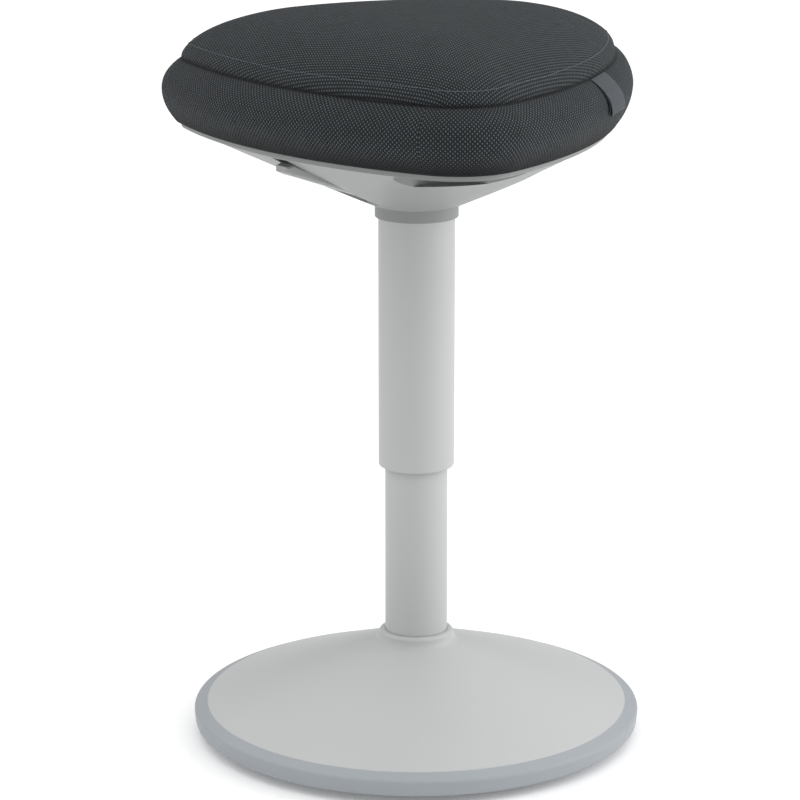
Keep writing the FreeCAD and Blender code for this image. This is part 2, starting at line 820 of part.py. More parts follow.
def make_cylinder():
    """Gas cylinder with its taper, the guide and seal at its foot, and the valve at its head."""
    pin_hole = S.valve_head_radius + S.piston_clearance
    turned("gas_cylinder", [
        (S.cylinder_bore_radius, S.cylinder_bottom_height), (S.cylinder_radius, S.cylinder_bottom_height),
        (S.cylinder_radius, S.taper_start_height), (S.taper_top_radius, S.cylinder_top_height),
        (pin_hole, S.cylinder_top_height), (pin_hole, cylinder_inner_top),
        (S.cylinder_bore_radius, cylinder_inner_top)])
    guide_top = S.cylinder_bottom_height + S.rod_guide_length
    rod_fit = S.rod_radius + S.running_clearance
    ring("rod_guide", rod_fit, S.cylinder_bore_radius, S.cylinder_bottom_height, guide_top)
    ring("rod_seal", rod_fit, S.cylinder_bore_radius, guide_top, guide_top + S.rod_seal_length)
    housing_bottom = cylinder_inner_top - S.housing_length
    counterbore = cylinder_inner_top - S.valve_counterbore_depth
    stem_hole = S.valve_stem_radius + S.running_clearance
    turned("valve_housing", [
        (stem_hole, housing_bottom), (S.cylinder_bore_radius, housing_bottom),
        (S.cylinder_bore_radius, cylinder_inner_top), (pin_hole, cylinder_inner_top),
        (pin_hole, counterbore), (stem_hole, counterbore)])
    stem_bottom = valve_head_bottom - S.valve_stem_length
    turned("valve_pin", [
        (0, stem_bottom), (S.valve_stem_radius, stem_bottom), (S.valve_stem_radius, valve_head_bottom),
        (S.valve_head_radius, valve_head_bottom), (S.valve_head_radius, valve_top - S.valve_nose_height),
        (S.valve_nose_radius, valve_top), (0, valve_top)])
    socket_bore_foot = taper_radius(S.socket_bottom_height) + S.taper_clearance
    turned("taper_socket", [
        (socket_bore_foot, S.socket_bottom_height), (S.socket_radius, S.socket_bottom_height),
        (S.socket_radius, S.cylinder_top_height),
        (S.taper_top_radius + S.taper_clearance, S.cylinder_top_height)])


# Seat shell

def shell_screw_spots():
    return around(CORNERS, S.boss_circle_radius, -90)


def pocket_profile(low, wall):
    """Section of the lever's pocket along the lever, grown by a wall."""
    inner, outer = S.pocket_inner_radius - wall, S.pocket_outer_radius + wall
    return [(inner, low), (outer, low), (outer, S.pocket_outer_roof_height + wall),
            (S.pocket_middle_radius, S.pocket_middle_roof_height + wall),
            (inner, S.pocket_inner_roof_height + wall)]


def make_shell():
    """The moulded shell: a hollow loft with collar, grip recess, lever pocket and screw bosses."""
    wall = S.shell_wall
    outer = loft([
        seat_outline(S.neck_corner_reach, S.neck_corner_radius, S.neck_side_radius, S.shell_neck_height),
        seat_outline(S.waist_corner_reach, S.waist_corner_radius, S.waist_side_radius,
                     S.shell_waist_height),
        inset_outline(S.shell_rim_inset, S.shell_rim_height)])
    inner = loft([
        seat_outline(S.neck_corner_reach, S.neck_corner_radius - wall, S.neck_side_radius - wall,
                     S.shell_neck_height + S.shell_floor_rise),
        seat_outline(S.waist_corner_reach, S.waist_corner_radius - wall, S.waist_side_radius - wall,
                     S.shell_waist_height + wall),
        inset_outline(S.shell_rim_inset + wall, S.board_bottom_height)])
    lip = cut(prism(inset_outline(S.shell_lip_inset, S.shell_rim_height),
                    S.board_bottom_height - S.shell_rim_height), inner)
    pan = S.pan_wall
    grip_block = cylinder(S.grip_radius + pan, S.grip_floor_height - pan, S.grip_roof_height + pan,
                          0, -S.grip_centre_reach)
    grip_void = cylinder(S.grip_radius, S.grip_floor_height, S.grip_roof_height, 0, -S.grip_centre_reach)
    low = S.collar_bottom_height
    pocket_width = S.handle_width + S.pocket_side_clearance * 2
    pocket_block = along_lever(padded_part(pocket_profile(low, pan), pocket_width + pan * 2))
    pocket_void = along_lever(padded_part(pocket_profile(low, 0), pocket_width))
    bosses = [cylinder(S.boss_radius, low, S.board_bottom_height, x, y) for x, y in shell_screw_spots()]
    inside = common(fuse(grip_block, pocket_block, *bosses), outer)
    collar_top = S.sleeve_seat_height + S.sleeve_stop_thickness
    arm_slot_half = S.arm_width / 2 + S.arm_slot_clearance
    collar = cylinder(S.collar_radius, low, collar_top)
    shell = fuse(cut(outer, inner), inside, lip, collar)
    tools = [
        grip_void, pocket_void,
        cylinder(collar_bore, low - THROUGH, S.sleeve_seat_height),
        cylinder(S.sleeve_stop_radius, low - THROUGH, collar_top + THROUGH),
        along_lever(box((S.lever_pivot_reach, S.arm_landing_reach + S.arm_slot_end_clearance),
                        (-arm_slot_half, arm_slot_half),
                        (S.pocket_inner_roof_height, S.lever_pivot_height)))]
    for x, y in shell_screw_spots():
        tools.append(cylinder(S.shell_screw_radius, S.board_bottom_height - S.shell_screw_grip,
                              S.board_bottom_height + THROUGH, x, y))
    node(cut(shell, *tools), "seat_shell")


# Seat board, bracket and their screws

def bracket_spots():
    """The bracket's screw places in the seat's frame."""
    angle = math.radians(S.lever_direction.value)
    across, along = math.sin(angle), math.cos(angle)
    spots = []
    for side_x in (-1, 1):
        for side_y in (-1, 1):
            x, y = S.bracket_hole_x * side_x, S.bracket_hole_y * side_y
            spots.append((x * along - y * across, x * across + y * along))
    return spots


def make_bracket():
    """Pressed steel bracket with two cheeks, a web round the socket, and ears for the lever pin."""
    half_length, half_width = S.bracket_length / 2, S.bracket_width / 2
    top = S.board_bottom_height
    pieces = [box((-half_length, half_length), (-half_width, half_width), (bracket_bottom, top))]
    inner = S.cheek_inner_offset
    outer = inner + S.cheek_thickness
    for low, high in ((inner, outer), (-outer, -inner)):
        pieces.append(box((-S.cheek_back, S.cheek_front), (low, high), (S.cheek_bottom_height, top)))
        pieces.append(box((S.ear_back, S.ear_front), (low, high), (S.ear_bottom_height, top)))
    pieces.append(box((-S.cheek_back, S.cheek_front), (-inner, inner),
                      (S.cheek_bottom_height, S.cheek_bottom_height + S.web_thickness)))
    holes = [cylinder(S.socket_radius, S.cheek_bottom_height - THROUGH,
                      S.cheek_bottom_height + S.web_thickness + THROUGH)]
    for side_x in (-1, 1):
        for side_y in (-1, 1):
            holes.append(cylinder(S.bracket_screw_radius + S.loose_clearance, bracket_bottom - THROUGH,
                                  top + THROUGH, S.bracket_hole_x * side_x, S.bracket_hole_y * side_y))
    holes.append(cross_pin(S.lever_pin_radius, outer + THROUGH))
    bracket = cut(fuse(*pieces), *holes)
    node(along_lever(bracket), "lift_bracket")
    screws = []
    nuts = []
    flange_bottom = board_top - S.tee_nut_flange_thickness
    for x, y in bracket_spots():
        head = cylinder(S.bracket_screw_head_radius, bracket_bottom - S.bracket_screw_head_height,
                        bracket_bottom, x, y)
        shank = cylinder(S.bracket_screw_radius, bracket_bottom, flange_bottom, x, y)
        screws.append(fuse(head, shank))
        nut = fuse(cylinder(S.tee_nut_radius, S.board_bottom_height, flange_bottom, x, y),
                   cylinder(S.tee_nut_flange_radius, flange_bottom, board_top, x, y))
        nuts.append(cut(nut, cylinder(S.bracket_screw_radius, S.board_bottom_height - THROUGH,
                                      board_top + THROUGH, x, y)))
    node(group(screws), "bracket_screws")
    node(group(nuts), "tee_nuts")


def make_board():
    """Plywood board with holes for the tee nuts and the shell's screws."""
    board = prism(inset_outline(S.board_inset, S.board_bottom_height), S.board_thickness)
    holes = []
    for x, y in bracket_spots():
        holes.append(cylinder(S.tee_nut_radius, S.board_bottom_height - THROUGH, board_top + THROUGH, x, y))
        holes.append(cylinder(S.tee_nut_flange_radius, board_top - S.tee_nut_flange_thickness,
                              board_top + THROUGH, x, y))
    screws = []
    head_bottom = board_top - S.shell_screw_head_height
    for x, y in shell_screw_spots():
        holes.append(cylinder(S.shell_screw_radius + S.loose_clearance, S.board_bottom_height - THROUGH,
                              board_top + THROUGH, x, y))
        holes.append(cylinder(S.shell_screw_head_radius + S.loose_clearance, head_bottom,
                              board_top + THROUGH, x, y))
        head = cylinder(S.shell_screw_head_radius, head_bottom, board_top, x, y)
        shank = cylinder(S.shell_screw_radius, S.board_bottom_height - S.shell_screw_grip, head_bottom, x, y)
        screws.append(fuse(head, shank))
    node(cut(board, *holes), "seat_board")
    node(group(screws), "shell_screws")


# Cushion

def cushion_sections(skin):
    """Outlines of the cushion from its foot to its crown, drawn in by a skin thickness."""
    widest, seam, foot = S.cushion_widest_height, S.cushion_seam_height, S.cushion_bottom_height + skin
    sections = []
    for share in LOWER_SHARES:
        inset = S.cushion_bottom_inset * (1 - share) ** LOWER_POWER
        sections.append(inset_outline(inset + skin, foot + (widest - foot) * share))
    for share in UPPER_SHARES:
        inset = S.cushion_seam_inset * share ** UPPER_POWER
        sections.append(inset_outline(inset + skin, widest + (seam - skin - widest) * share))
    for share in CROWN_SHARES:
        rise = (1 - share ** CROWN_POWER) ** (1 / CROWN_ROUNDNESS)
        sections.append(scaled_outline(S.cushion_seam_inset + skin, share,
                                       seam - skin + S.cushion_crown * rise))
    return sections


def make_cushion():
    """Foam and its sewn cover, both hollowed where the board sits."""
    skin = S.cover_thickness
    outside = loft(cushion_sections(as_size(0)), ruled=True)
    inside = loft(cushion_sections(skin), ruled=True)
    seat_for_board = prism(inset_outline(S.board_inset, S.board_bottom_height), S.board_thickness)
    second_seat = prism(inset_outline(S.board_inset, S.board_bottom_height), S.board_thickness)
    node(cut(inside, seat_for_board), "foam_core")
    node(cut(outside, inside, second_seat), "seat_cover")


def make_tag():
    """A bare woven tag that hangs from the seam over the side band."""
    thick = S.tag_thickness
    top = S.cushion_seam_height + S.loose_clearance
    bottom = top - S.tag_drop
    top_radius = side_distance() - S.cushion_seam_inset + S.tag_top_lift
    bottom_radius = side_distance() + S.loose_clearance
    body = padded_body([
        (bottom_radius, bottom, S.tag_bulge_radius, 1), (top_radius, top),
        (top_radius, top + thick, S.tag_bulge_radius + thick, -1), (bottom_radius + thick, bottom)],
        S.tag_width)
    node(turn(body, S.tag_direction), "side_tag")


def side_distance():
    """Distance from the column axis to the middle of a side of the seat's outline."""
    gap = S.seat_side_radius - S.seat_corner_radius
    reach = S.seat_corner_reach
    push = ((gap * gap * 4 - reach * reach * 3).root() - reach) / 2
    return S.seat_side_radius - push


# Lever

def cross_pin(radius, half_length):
    """A cylinder along Y through the lever's pivot."""
    solid = add("Part::Cylinder", Radius=radius, Height=half_length * 2)
    solid.Placement = FreeCAD.Placement(Vector(0, 0, 0), Rotation(Vector(1, 0, 0), 90))
    return place(solid, S.lever_pivot_reach, half_length, S.lever_pivot_height)


def handle_top(reach):
    """Height of the handle's straight top face at a reach."""
    root_top = S.handle_root_height + S.handle_root_thickness
    shoulder_top = S.handle_shoulder_height + S.handle_shoulder_thickness
    slope = (shoulder_top - root_top) / (S.handle_shoulder_reach - S.handle_root_reach)
    return root_top + slope * (reach - S.handle_root_reach)


def make_arm():
    """Pressed steel arm: flat over the valve, bent down past the pivot, then flat in the handle."""
    thick = S.arm_thickness
    arm_top = arm_bottom + thick
    bend = S.lever_pivot_reach + thick
    landing, end = S.arm_landing_reach, S.arm_end_reach
    strip = padded_part([
        (-S.arm_nose_overhang, arm_bottom), (bend, arm_bottom), (landing, handle_top(landing) - thick),
        (end, handle_top(end) - thick), (end, handle_top(end)),
        (landing + thick, handle_top(landing + thick)), (bend + thick, arm_top),
        (-S.arm_nose_overhang, arm_top)], S.arm_width)
    hub = cross_pin(S.lever_hub_radius, S.cheek_inner_offset - S.loose_clearance)
    bore = cross_pin(S.lever_pin_radius + S.running_clearance, S.cheek_inner_offset + THROUGH)
    screws = [fuse(lever_screw_shank(reach), lever_screw_head(reach)) for reach in lever_screw_reaches()]
    arm = cut(fuse(strip, hub), bore, *screws)
    node(along_lever(arm), "lever_arm")


def padded_part(points, width):
    """A solid padded evenly to both sides of the XZ plane."""
    sketch = doc.addObject("Sketcher::SketchObject", "Profile")
    draw_outline(sketch, points)
    sketch.Placement = FreeCAD.Placement(Vector(0, 0, 0), Rotation(Vector(1, 0, 0), 90))
    solid = doc.addObject("Part::Extrusion", "Strip")
    solid.Base = sketch
    solid.DirMode = "Normal"
    solid.Solid = True
    solid.Symmetric = True
    bind(solid, LengthFwd=width)
    return solid


def lever_screw_reaches():
    return (S.lever_screw_first_reach, S.lever_screw_second_reach)


def lever_screw_shank(reach):
    """The part of a handle screw below the arm's top face."""
    solid = add("Part::Cylinder", Radius=S.lever_screw_radius, Height=S.arm_thickness + S.lever_screw_length)
    solid.Placement = FreeCAD.Placement(Vector(0, 0, 0), Rotation(Vector(1, 0, 0), 180))
    return place(solid, reach, 0, handle_top(reach))


def lever_screw_head(reach):
    """The head, sunk in the arm."""
    bottom = handle_top(reach) - S.lever_screw_head_height
    return cylinder(S.lever_screw_head_radius, bottom, bottom + S.lever_screw_head_height * 2, reach, 0)


def make_handle():
    """Moulded handle with a groove for the arm."""
    stations = ((S.handle_shoulder_reach, S.handle_shoulder_height, S.handle_shoulder_thickness),
                (S.handle_knob_reach, S.handle_knob_height, S.handle_knob_thickness),
                (S.handle_tip_reach, S.handle_tip_height, S.handle_tip_thickness))
    lower = [(reach, height) for reach, height, thickness in stations]
    upper = [(reach, height + thickness) for reach, height, thickness in reversed(stations)]
    root = S.handle_root_reach
    body = padded_body([
        (root, S.handle_root_height), (S.handle_middle_reach, S.handle_middle_height), *lower, *upper,
        (root, handle_top(root))], S.handle_width)
    doc.recompute()
    side = S.handle_width.value / 2
    moulding = body.Tip
    names = []
    for index, edge in enumerate(moulding.Shape.Edges, start=1):
        ends = [vertex.Point.y for vertex in edge.Vertexes]
        if all(abs(abs(y) - side) < 1e-6 for y in ends) and ends[0] * ends[1] > 0:
            names.append("Edge%d" % index)
    fillet = body.newObject("PartDesign::Fillet", "Fillet")
    fillet.Base = (moulding, names)
    bind(fillet, Radius=S.handle_edge_fillet)
    doc.recompute()
    before = body.Shape.Volume
    sketch = body_sketch(body, "XZ_Plane")
    start = S.arm_landing_reach - S.arm_slot_clearance
    end = S.arm_end_reach + S.fit_clearance
    depth = S.arm_thickness + S.fit_clearance
    above = S.handle_knob_thickness
    draw_outline(sketch, [(start, handle_top(start) - depth), (end, handle_top(end) - depth),
                          (end, handle_top(end) + above), (start, handle_top(start) + above)])
    groove = body.newObject("PartDesign::Pocket", "Pocket")
    groove.Profile = sketch
    groove.Midplane = True
    bind(groove, Length=S.arm_width + S.fit_clearance * 2)
    doc.recompute()
    if not body.Shape.Volume < before:
        raise RuntimeError("the groove in the handle removes nothing")
    handle = cut(body, *[lever_screw_shank(reach) for reach in lever_screw_reaches()])
    node(along_lever(handle), "lever_handle")
    screws = [fuse(lever_screw_head(reach), lever_screw_shank(reach)) for reach in lever_screw_reaches()]
    node(along_lever(*screws), "lever_screws")


def make_pin():
    """Pivot pin across the bracket's ears, with a clip outside each ear."""
    outer = S.cheek_inner_offset + S.cheek_thickness
    pin_half_length = outer + S.lever_pin_overhang
    node(along_lever(cross_pin(S.lever_pin_radius, pin_half_length)), "lever_pin")
    clips = cut(cross_pin(S.lever_clip_radius, outer + S.lever_clip_thickness),
                cross_pin(S.lever_clip_radius + THROUGH, outer),
                cross_pin(S.lever_pin_radius, pin_half_length))
    node(along_lever(clips), "lever_clips")


def check_model():
    """Stops before anything is written if an object failed or a sub-part has no sound shape."""
    for thing in doc.Objects:
        if any(state in ("Invalid", "Error") for state in thing.State):
            raise RuntimeError("%s (%s) failed" % (thing.Label, thing.Name))
    for thing in nodes:
        if thing.Shape.isNull() or not thing.Shape.isValid() or not thing.Shape.Solids:
            raise RuntimeError("%s has no sound shape" % thing.Label)


def write_parts():
    os.makedirs("parts", exist_ok=True)
    for thing in nodes:
        thing.Shape.exportStep("parts/%s.step" % thing.Label)
        print("%-20s %2d solids %9.2f cm3" % (thing.Label, len(thing.Shape.Solids),
                                              thing.Shape.Volume / 1000))


make_base()
make_column()
make_shell()
make_bracket()
make_board()
make_cushion()
make_tag()
make_pin()
make_arm()
make_handle()
doc.recompute()
check_model()
write_parts()
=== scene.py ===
import json
import logging
import math
from dataclasses import dataclass, field
from enum import Enum
from typing import Any

import bmesh
import bpy
from mathutils import Matrix, Vector, noise


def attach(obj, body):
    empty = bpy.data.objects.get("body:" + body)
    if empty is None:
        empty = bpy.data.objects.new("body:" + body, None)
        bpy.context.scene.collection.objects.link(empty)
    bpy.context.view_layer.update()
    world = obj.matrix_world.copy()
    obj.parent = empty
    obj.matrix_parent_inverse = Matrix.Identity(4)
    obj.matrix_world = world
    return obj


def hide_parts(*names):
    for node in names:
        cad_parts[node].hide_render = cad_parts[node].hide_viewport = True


# Wobble stool: cushion, tag, stitches, finishes, floor, lights and camera, in metres.

MM = 0.001
CLOTH_MAP = "cloth"
PLAIN_MAP = "UVMap"
# Name of the point attribute that holds the cushion's painted shade.
PAINTED_SHADE = "painted_shade"
MIX_FIRST = 6
MIX_SECOND = 7
MIX_RESULT = 2
SLOW_SHARE = 0.7
WHITE = (1, 1, 1, 1)
Triple = tuple[float, float, float]
Colour = Triple
log = logging.getLogger("wobble_stool")
logging.basicConfig(level=logging.INFO, format="%(message)s")

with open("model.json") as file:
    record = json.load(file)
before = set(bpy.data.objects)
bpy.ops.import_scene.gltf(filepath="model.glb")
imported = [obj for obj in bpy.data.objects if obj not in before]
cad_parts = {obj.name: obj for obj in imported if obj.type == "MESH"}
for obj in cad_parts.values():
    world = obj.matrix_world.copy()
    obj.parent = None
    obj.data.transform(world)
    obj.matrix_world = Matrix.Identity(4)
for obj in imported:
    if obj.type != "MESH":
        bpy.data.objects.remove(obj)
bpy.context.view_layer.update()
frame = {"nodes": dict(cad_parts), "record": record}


class Field:
    """A number that varies over a surface: a shader socket that takes part in Python expressions."""

    def __init__(self, sheet: "ShaderSheet", socket: Any) -> None:
        """Keeps the socket and the sheet that its nodes go to."""
        self.sheet = sheet
        self.socket = socket

    def _math(self, operation: str, *values: Any) -> "Field":
        """Adds a Math node.

        Args:
            operation: The Math node's operation.
            *values: Its inputs, as fields or numbers.

        Returns:
            The node's result.
        """
        return self.sheet.node("ShaderNodeMath", {"operation": operation}, dict(enumerate(values)))

    def __add__(self, other: Any) -> "Field":
        """Sum."""
        return self._math("ADD", self, other)

    def __sub__(self, other: Any) -> "Field":
        """Difference."""
        return self._math("SUBTRACT", self, other)

    def __rsub__(self, other: Any) -> "Field":
        """Difference, from a number."""
        return self._math("SUBTRACT", other, self)

    def __mul__(self, other: Any) -> "Field":
        """Product."""
        return self._math("MULTIPLY", self, other)

    def __truediv__(self, other: Any) -> "Field":
        """Quotient."""
        return self._math("DIVIDE", self, other)

    def __pow__(self, other: Any) -> "Field":
        """Power."""
        return self._math("POWER", self, other)

    __radd__ = __add__
    __rmul__ = __mul__

    def fraction(self) -> "Field":
        """Part after the point."""
        return self._math("FRACT", self)

    def whole(self) -> "Field":
        """Largest whole number below."""
        return self._math("FLOOR", self)

    def size(self) -> "Field":
        """Value without its sign."""
        return self._math("ABSOLUTE", self)

    def off_middle(self) -> "Field":
        """Distance from the middle of each whole step: 0 there and 1 at its ends."""
        return (self.fraction() - 0.5).size() * 2

    def between(self, low: float, high: float) -> "Field":
        """Maps low to 0 and high to 1, smoothly, and holds the ends."""
        settings = {"interpolation_type": "SMOOTHSTEP"}
        inputs = {"Value": self, "From Min": low, "From Max": high}
        return self.sheet.node("ShaderNodeMapRange", settings, inputs)


class ShaderSheet:
    """The node tree of one material, with its Principled shader."""

    def __init__(self, name: str) -> None:
        """Starts a material.

        Args:
            name: The material's name.
        """
        self.material = bpy.data.materials.new(name)
        self.material.use_nodes = True
        self.tree = self.material.node_tree
        self.shader = self.tree.nodes["Principled BSDF"]

    def node(self, kind: str, settings: dict, inputs: dict, output: Any = 0) -> Field:
        """Adds a node.

        Args:
            kind: The node's type.
            settings: Its own settings, made first.
            inputs: Its sockets by name or place, each with a value or a field.
            output: The name or place of the output to give back.

        Returns:
            The chosen output.
        """
        made = self.tree.nodes.new(kind)
        for key, value in settings.items():
            setattr(made, key, value)
        for key, value in inputs.items():
            self.feed(made.inputs[key], value)
        return Field(self, made.outputs[output])

    def feed(self, socket: Any, value: Any) -> None:
        """Links a field to a socket, or sets a plain value on it."""
        if isinstance(value, Field):
            self.tree.links.new(value.socket, socket)
        else:
            socket.default_value = value

    def place(self) -> Field:
        """Object coordinates."""
        return self.node("ShaderNodeTexCoord", {}, {}, "Object")

    def noise(self, where: Field, size: float, detail: float = 2.0) -> Field:
        """Even noise of a grain size in metres."""
        inputs = {"Vector": where, "Scale": 1 / size, "Detail": detail}
        return self.node("ShaderNodeTexNoise", {}, inputs, "Fac")

    def blend(self, share: Field, first: Any, second: Any) -> Field:
        """Mixes two colours, each a triple or a field, by a field from 0 to 1."""
        ends = [value if isinstance(value, Field) else (*value, 1) for value in (first, second)]
        inputs = {"Factor": share, MIX_FIRST: ends[0], MIX_SECOND: ends[1]}
        return self.node("ShaderNodeMix", {"data_type": "RGBA"}, inputs, MIX_RESULT)

    def threads(self, pitch: float) -> tuple[Field, Field]:
        """The piece's own cloth map, counted in threads along and across."""
        flat = self.node("ShaderNodeUVMap", {"uv_map": CLOTH_MAP}, {}, "UV")
        along = self.node("ShaderNodeSeparateXYZ", {}, {"Vector": flat}, "X")
        across = Field(self, along.socket.node.outputs["Y"])
        return along / pitch, across / pitch

    def relief(self, height: Field, depth: float, strength: float = 1.0) -> None:
        """Raises the surface by a height field, with a depth in metres."""
        inputs = {"Height": height, "Distance": depth, "Strength": strength}
        bump = self.node("ShaderNodeBump", {}, inputs, "Normal")
        self.feed(self.shader.inputs["Normal"], bump)

    def set(self, **values: Any) -> None:
        """Sets or links inputs of the Principled shader; an underscore stands for a space."""
        for key, value in values.items():
            self.feed(self.shader.inputs[key.replace("_", " ")], value)


@dataclass(frozen=True)
class Coating:
    """A coat of paint, moulded plastic or rubber: even colour, a fine grain and a slow variation."""

    name: str
    light: Colour
    dark: Colour
    roughness: float
    roughness_spread: float
    grain: float
    grain_depth: float
    metallic: float = 0.0
    specular: float = 0.5
    blotch: float = 90 * MM
    grain_detail: float = 3.0

    def material(self) -> bpy.types.Material:
        """Builds the finish.

        Returns:
            The finished material.
        """
        sheet = ShaderSheet(self.name)
        where = sheet.place()
        slow = sheet.noise(where, self.blotch)
        fine = sheet.noise(where, self.grain, self.grain_detail)
        shade = slow * SLOW_SHARE + fine * (1 - SLOW_SHARE)
        sheet.set(Base_Color=sheet.blend(shade, self.dark, self.light))
        sheet.set(Roughness=self.roughness + (slow - 0.5) * self.roughness_spread)
        sheet.set(Metallic=self.metallic, Specular_IOR_Level=self.specular)
        sheet.relief(fine, self.grain_depth)
        return sheet.material


@dataclass(frozen=True)
class Weave:
    """Plain woven cloth: warp floats over weft in a chequered grid, read from the piece's own map, with
    painted shade in the gaps between threads, in the seam groove and at the cushion's foot.
    """

    name: str
    warp: Colour
    weft: Colour
    # gap: painted shade, the near-black colour of the hollows between threads
    gap: Colour
    pitch: float
    depth: float
    roughness: float
    # fold: painted shade, the near-black colour laid into the cloth in the seam groove and where the
    # cover turns under at the foot
    fold: Colour = (0.002, 0.002, 0.003)
    float_rounding: float = 0.55
    weft_height: float = 0.8
    gap_top: float = 0.15
    thread_top: float = 0.95
    thread_light: float = 0.62
    slub_light: float = 0.76
    slub_pitches: float = 4
    cloud: float = 50 * MM
    roughness_spread: float = 0.08
    specular: float = 0.25
    sheen: float = 0.02

    def material(self) -> bpy.types.Material:
        """Builds the cloth.

        Returns:
            The finished material.
        """
        sheet = ShaderSheet(self.name)
        along, across = sheet.threads(self.pitch)
        parity = ((along.whole() + across.whole()) / 2).fraction() * 2
        x = along.off_middle()
        y = across.off_middle()
        warp_float = (1 - x ** 2) * (1 - self.float_rounding * y ** 2)
        weft_float = (1 - y ** 2) * (1 - self.float_rounding * x ** 2)
        height = warp_float * parity + weft_float * (1 - parity) * self.weft_height
        where = sheet.place()
        slub = sheet.noise(where, self.pitch * self.slub_pitches)
        cloudy = sheet.noise(where, self.cloud)
        thread = sheet.blend(parity, self.weft, self.warp)
        # Painted shade: the low parts of the weave take the dark gap colour and the raised thread tops
        # the thread colour, varied by slub
        lit = height.between(self.gap_top, self.thread_top) * (self.thread_light + slub * self.slub_light)
        weave_colour = sheet.blend(lit, self.gap, thread)
        # Painted shade: darkens the cloth towards the fold colour in the seam groove and where the cover
        # turns under at the foot
        painted_shade = sheet.node("ShaderNodeAttribute", {"attribute_name": PAINTED_SHADE}, {}, "Fac")
        sheet.set(Base_Color=sheet.blend(painted_shade, weave_colour, self.fold))
        sheet.set(Roughness=self.roughness + (cloudy - 0.5) * self.roughness_spread)
        sheet.set(Specular_IOR_Level=self.specular, Sheen_Weight=self.sheen)
        sheet.relief(height, self.depth)
        return sheet.material


@dataclass(frozen=True)
class Ribbon:
    """A fine woven ribbon with close ribs across it."""

    name: str
    light: Colour
    dark: Colour
    pitch: float
    depth: float
    twist_share: float = 0.4
    cloud: float = 8 * MM
    roughness: float = 0.78
    roughness_spread: float = 0.1
    specular: float = 0.3

    def material(self) -> bpy.types.Material:
        """Builds the ribbon.

        Returns:
            The finished material.
        """
        sheet = ShaderSheet(self.name)
        along, across = sheet.threads(self.pitch)
        rib = 1 - along.off_middle() ** 2
        twist = 1 - across.off_middle() ** 2
        height = rib * (1 - self.twist_share + twist * self.twist_share)
        slow = sheet.noise(sheet.place(), self.cloud)
        # Painted shade: the valleys between ribs are darker and the raised ribs lighter, mixed with a
        # slow random tone.
        shade = height * SLOW_SHARE + slow * (1 - SLOW_SHARE)
        sheet.set(Base_Color=sheet.blend(shade, self.dark, self.light))
        sheet.set(Roughness=self.roughness + (slow - 0.5) * self.roughness_spread)
        sheet.set(Specular_IOR_Level=self.specular)
        sheet.relief(height, self.depth)
        return sheet.material


@dataclass(frozen=True)
class Plywood:
    """Raw plywood: long grain and darker veins."""

    name: str
    light: Colour
    dark: Colour
    stretch: Triple = (1, 12, 12)
    vein: float = 30 * MM
    vein_detail: float = 4.0
    vein_depth: float = 0.2 * MM
    roughness: float = 0.6
    roughness_spread: float = 0.2

    def material(self) -> bpy.types.Material:
        """Builds the wood.

        Returns:
            The finished material.
        """
        sheet = ShaderSheet(self.name)
        inputs = {"Vector": sheet.place(), "Scale": self.stretch}
        stretched = sheet.node("ShaderNodeMapping", {}, inputs, "Vector")
        grain = sheet.noise(stretched, self.vein, self.vein_detail)
        sheet.set(Base_Color=sheet.blend(grain, self.dark, self.light))
        sheet.set(Roughness=self.roughness + grain * self.roughness_spread)
        sheet.relief(grain, self.vein_depth)
        return sheet.material


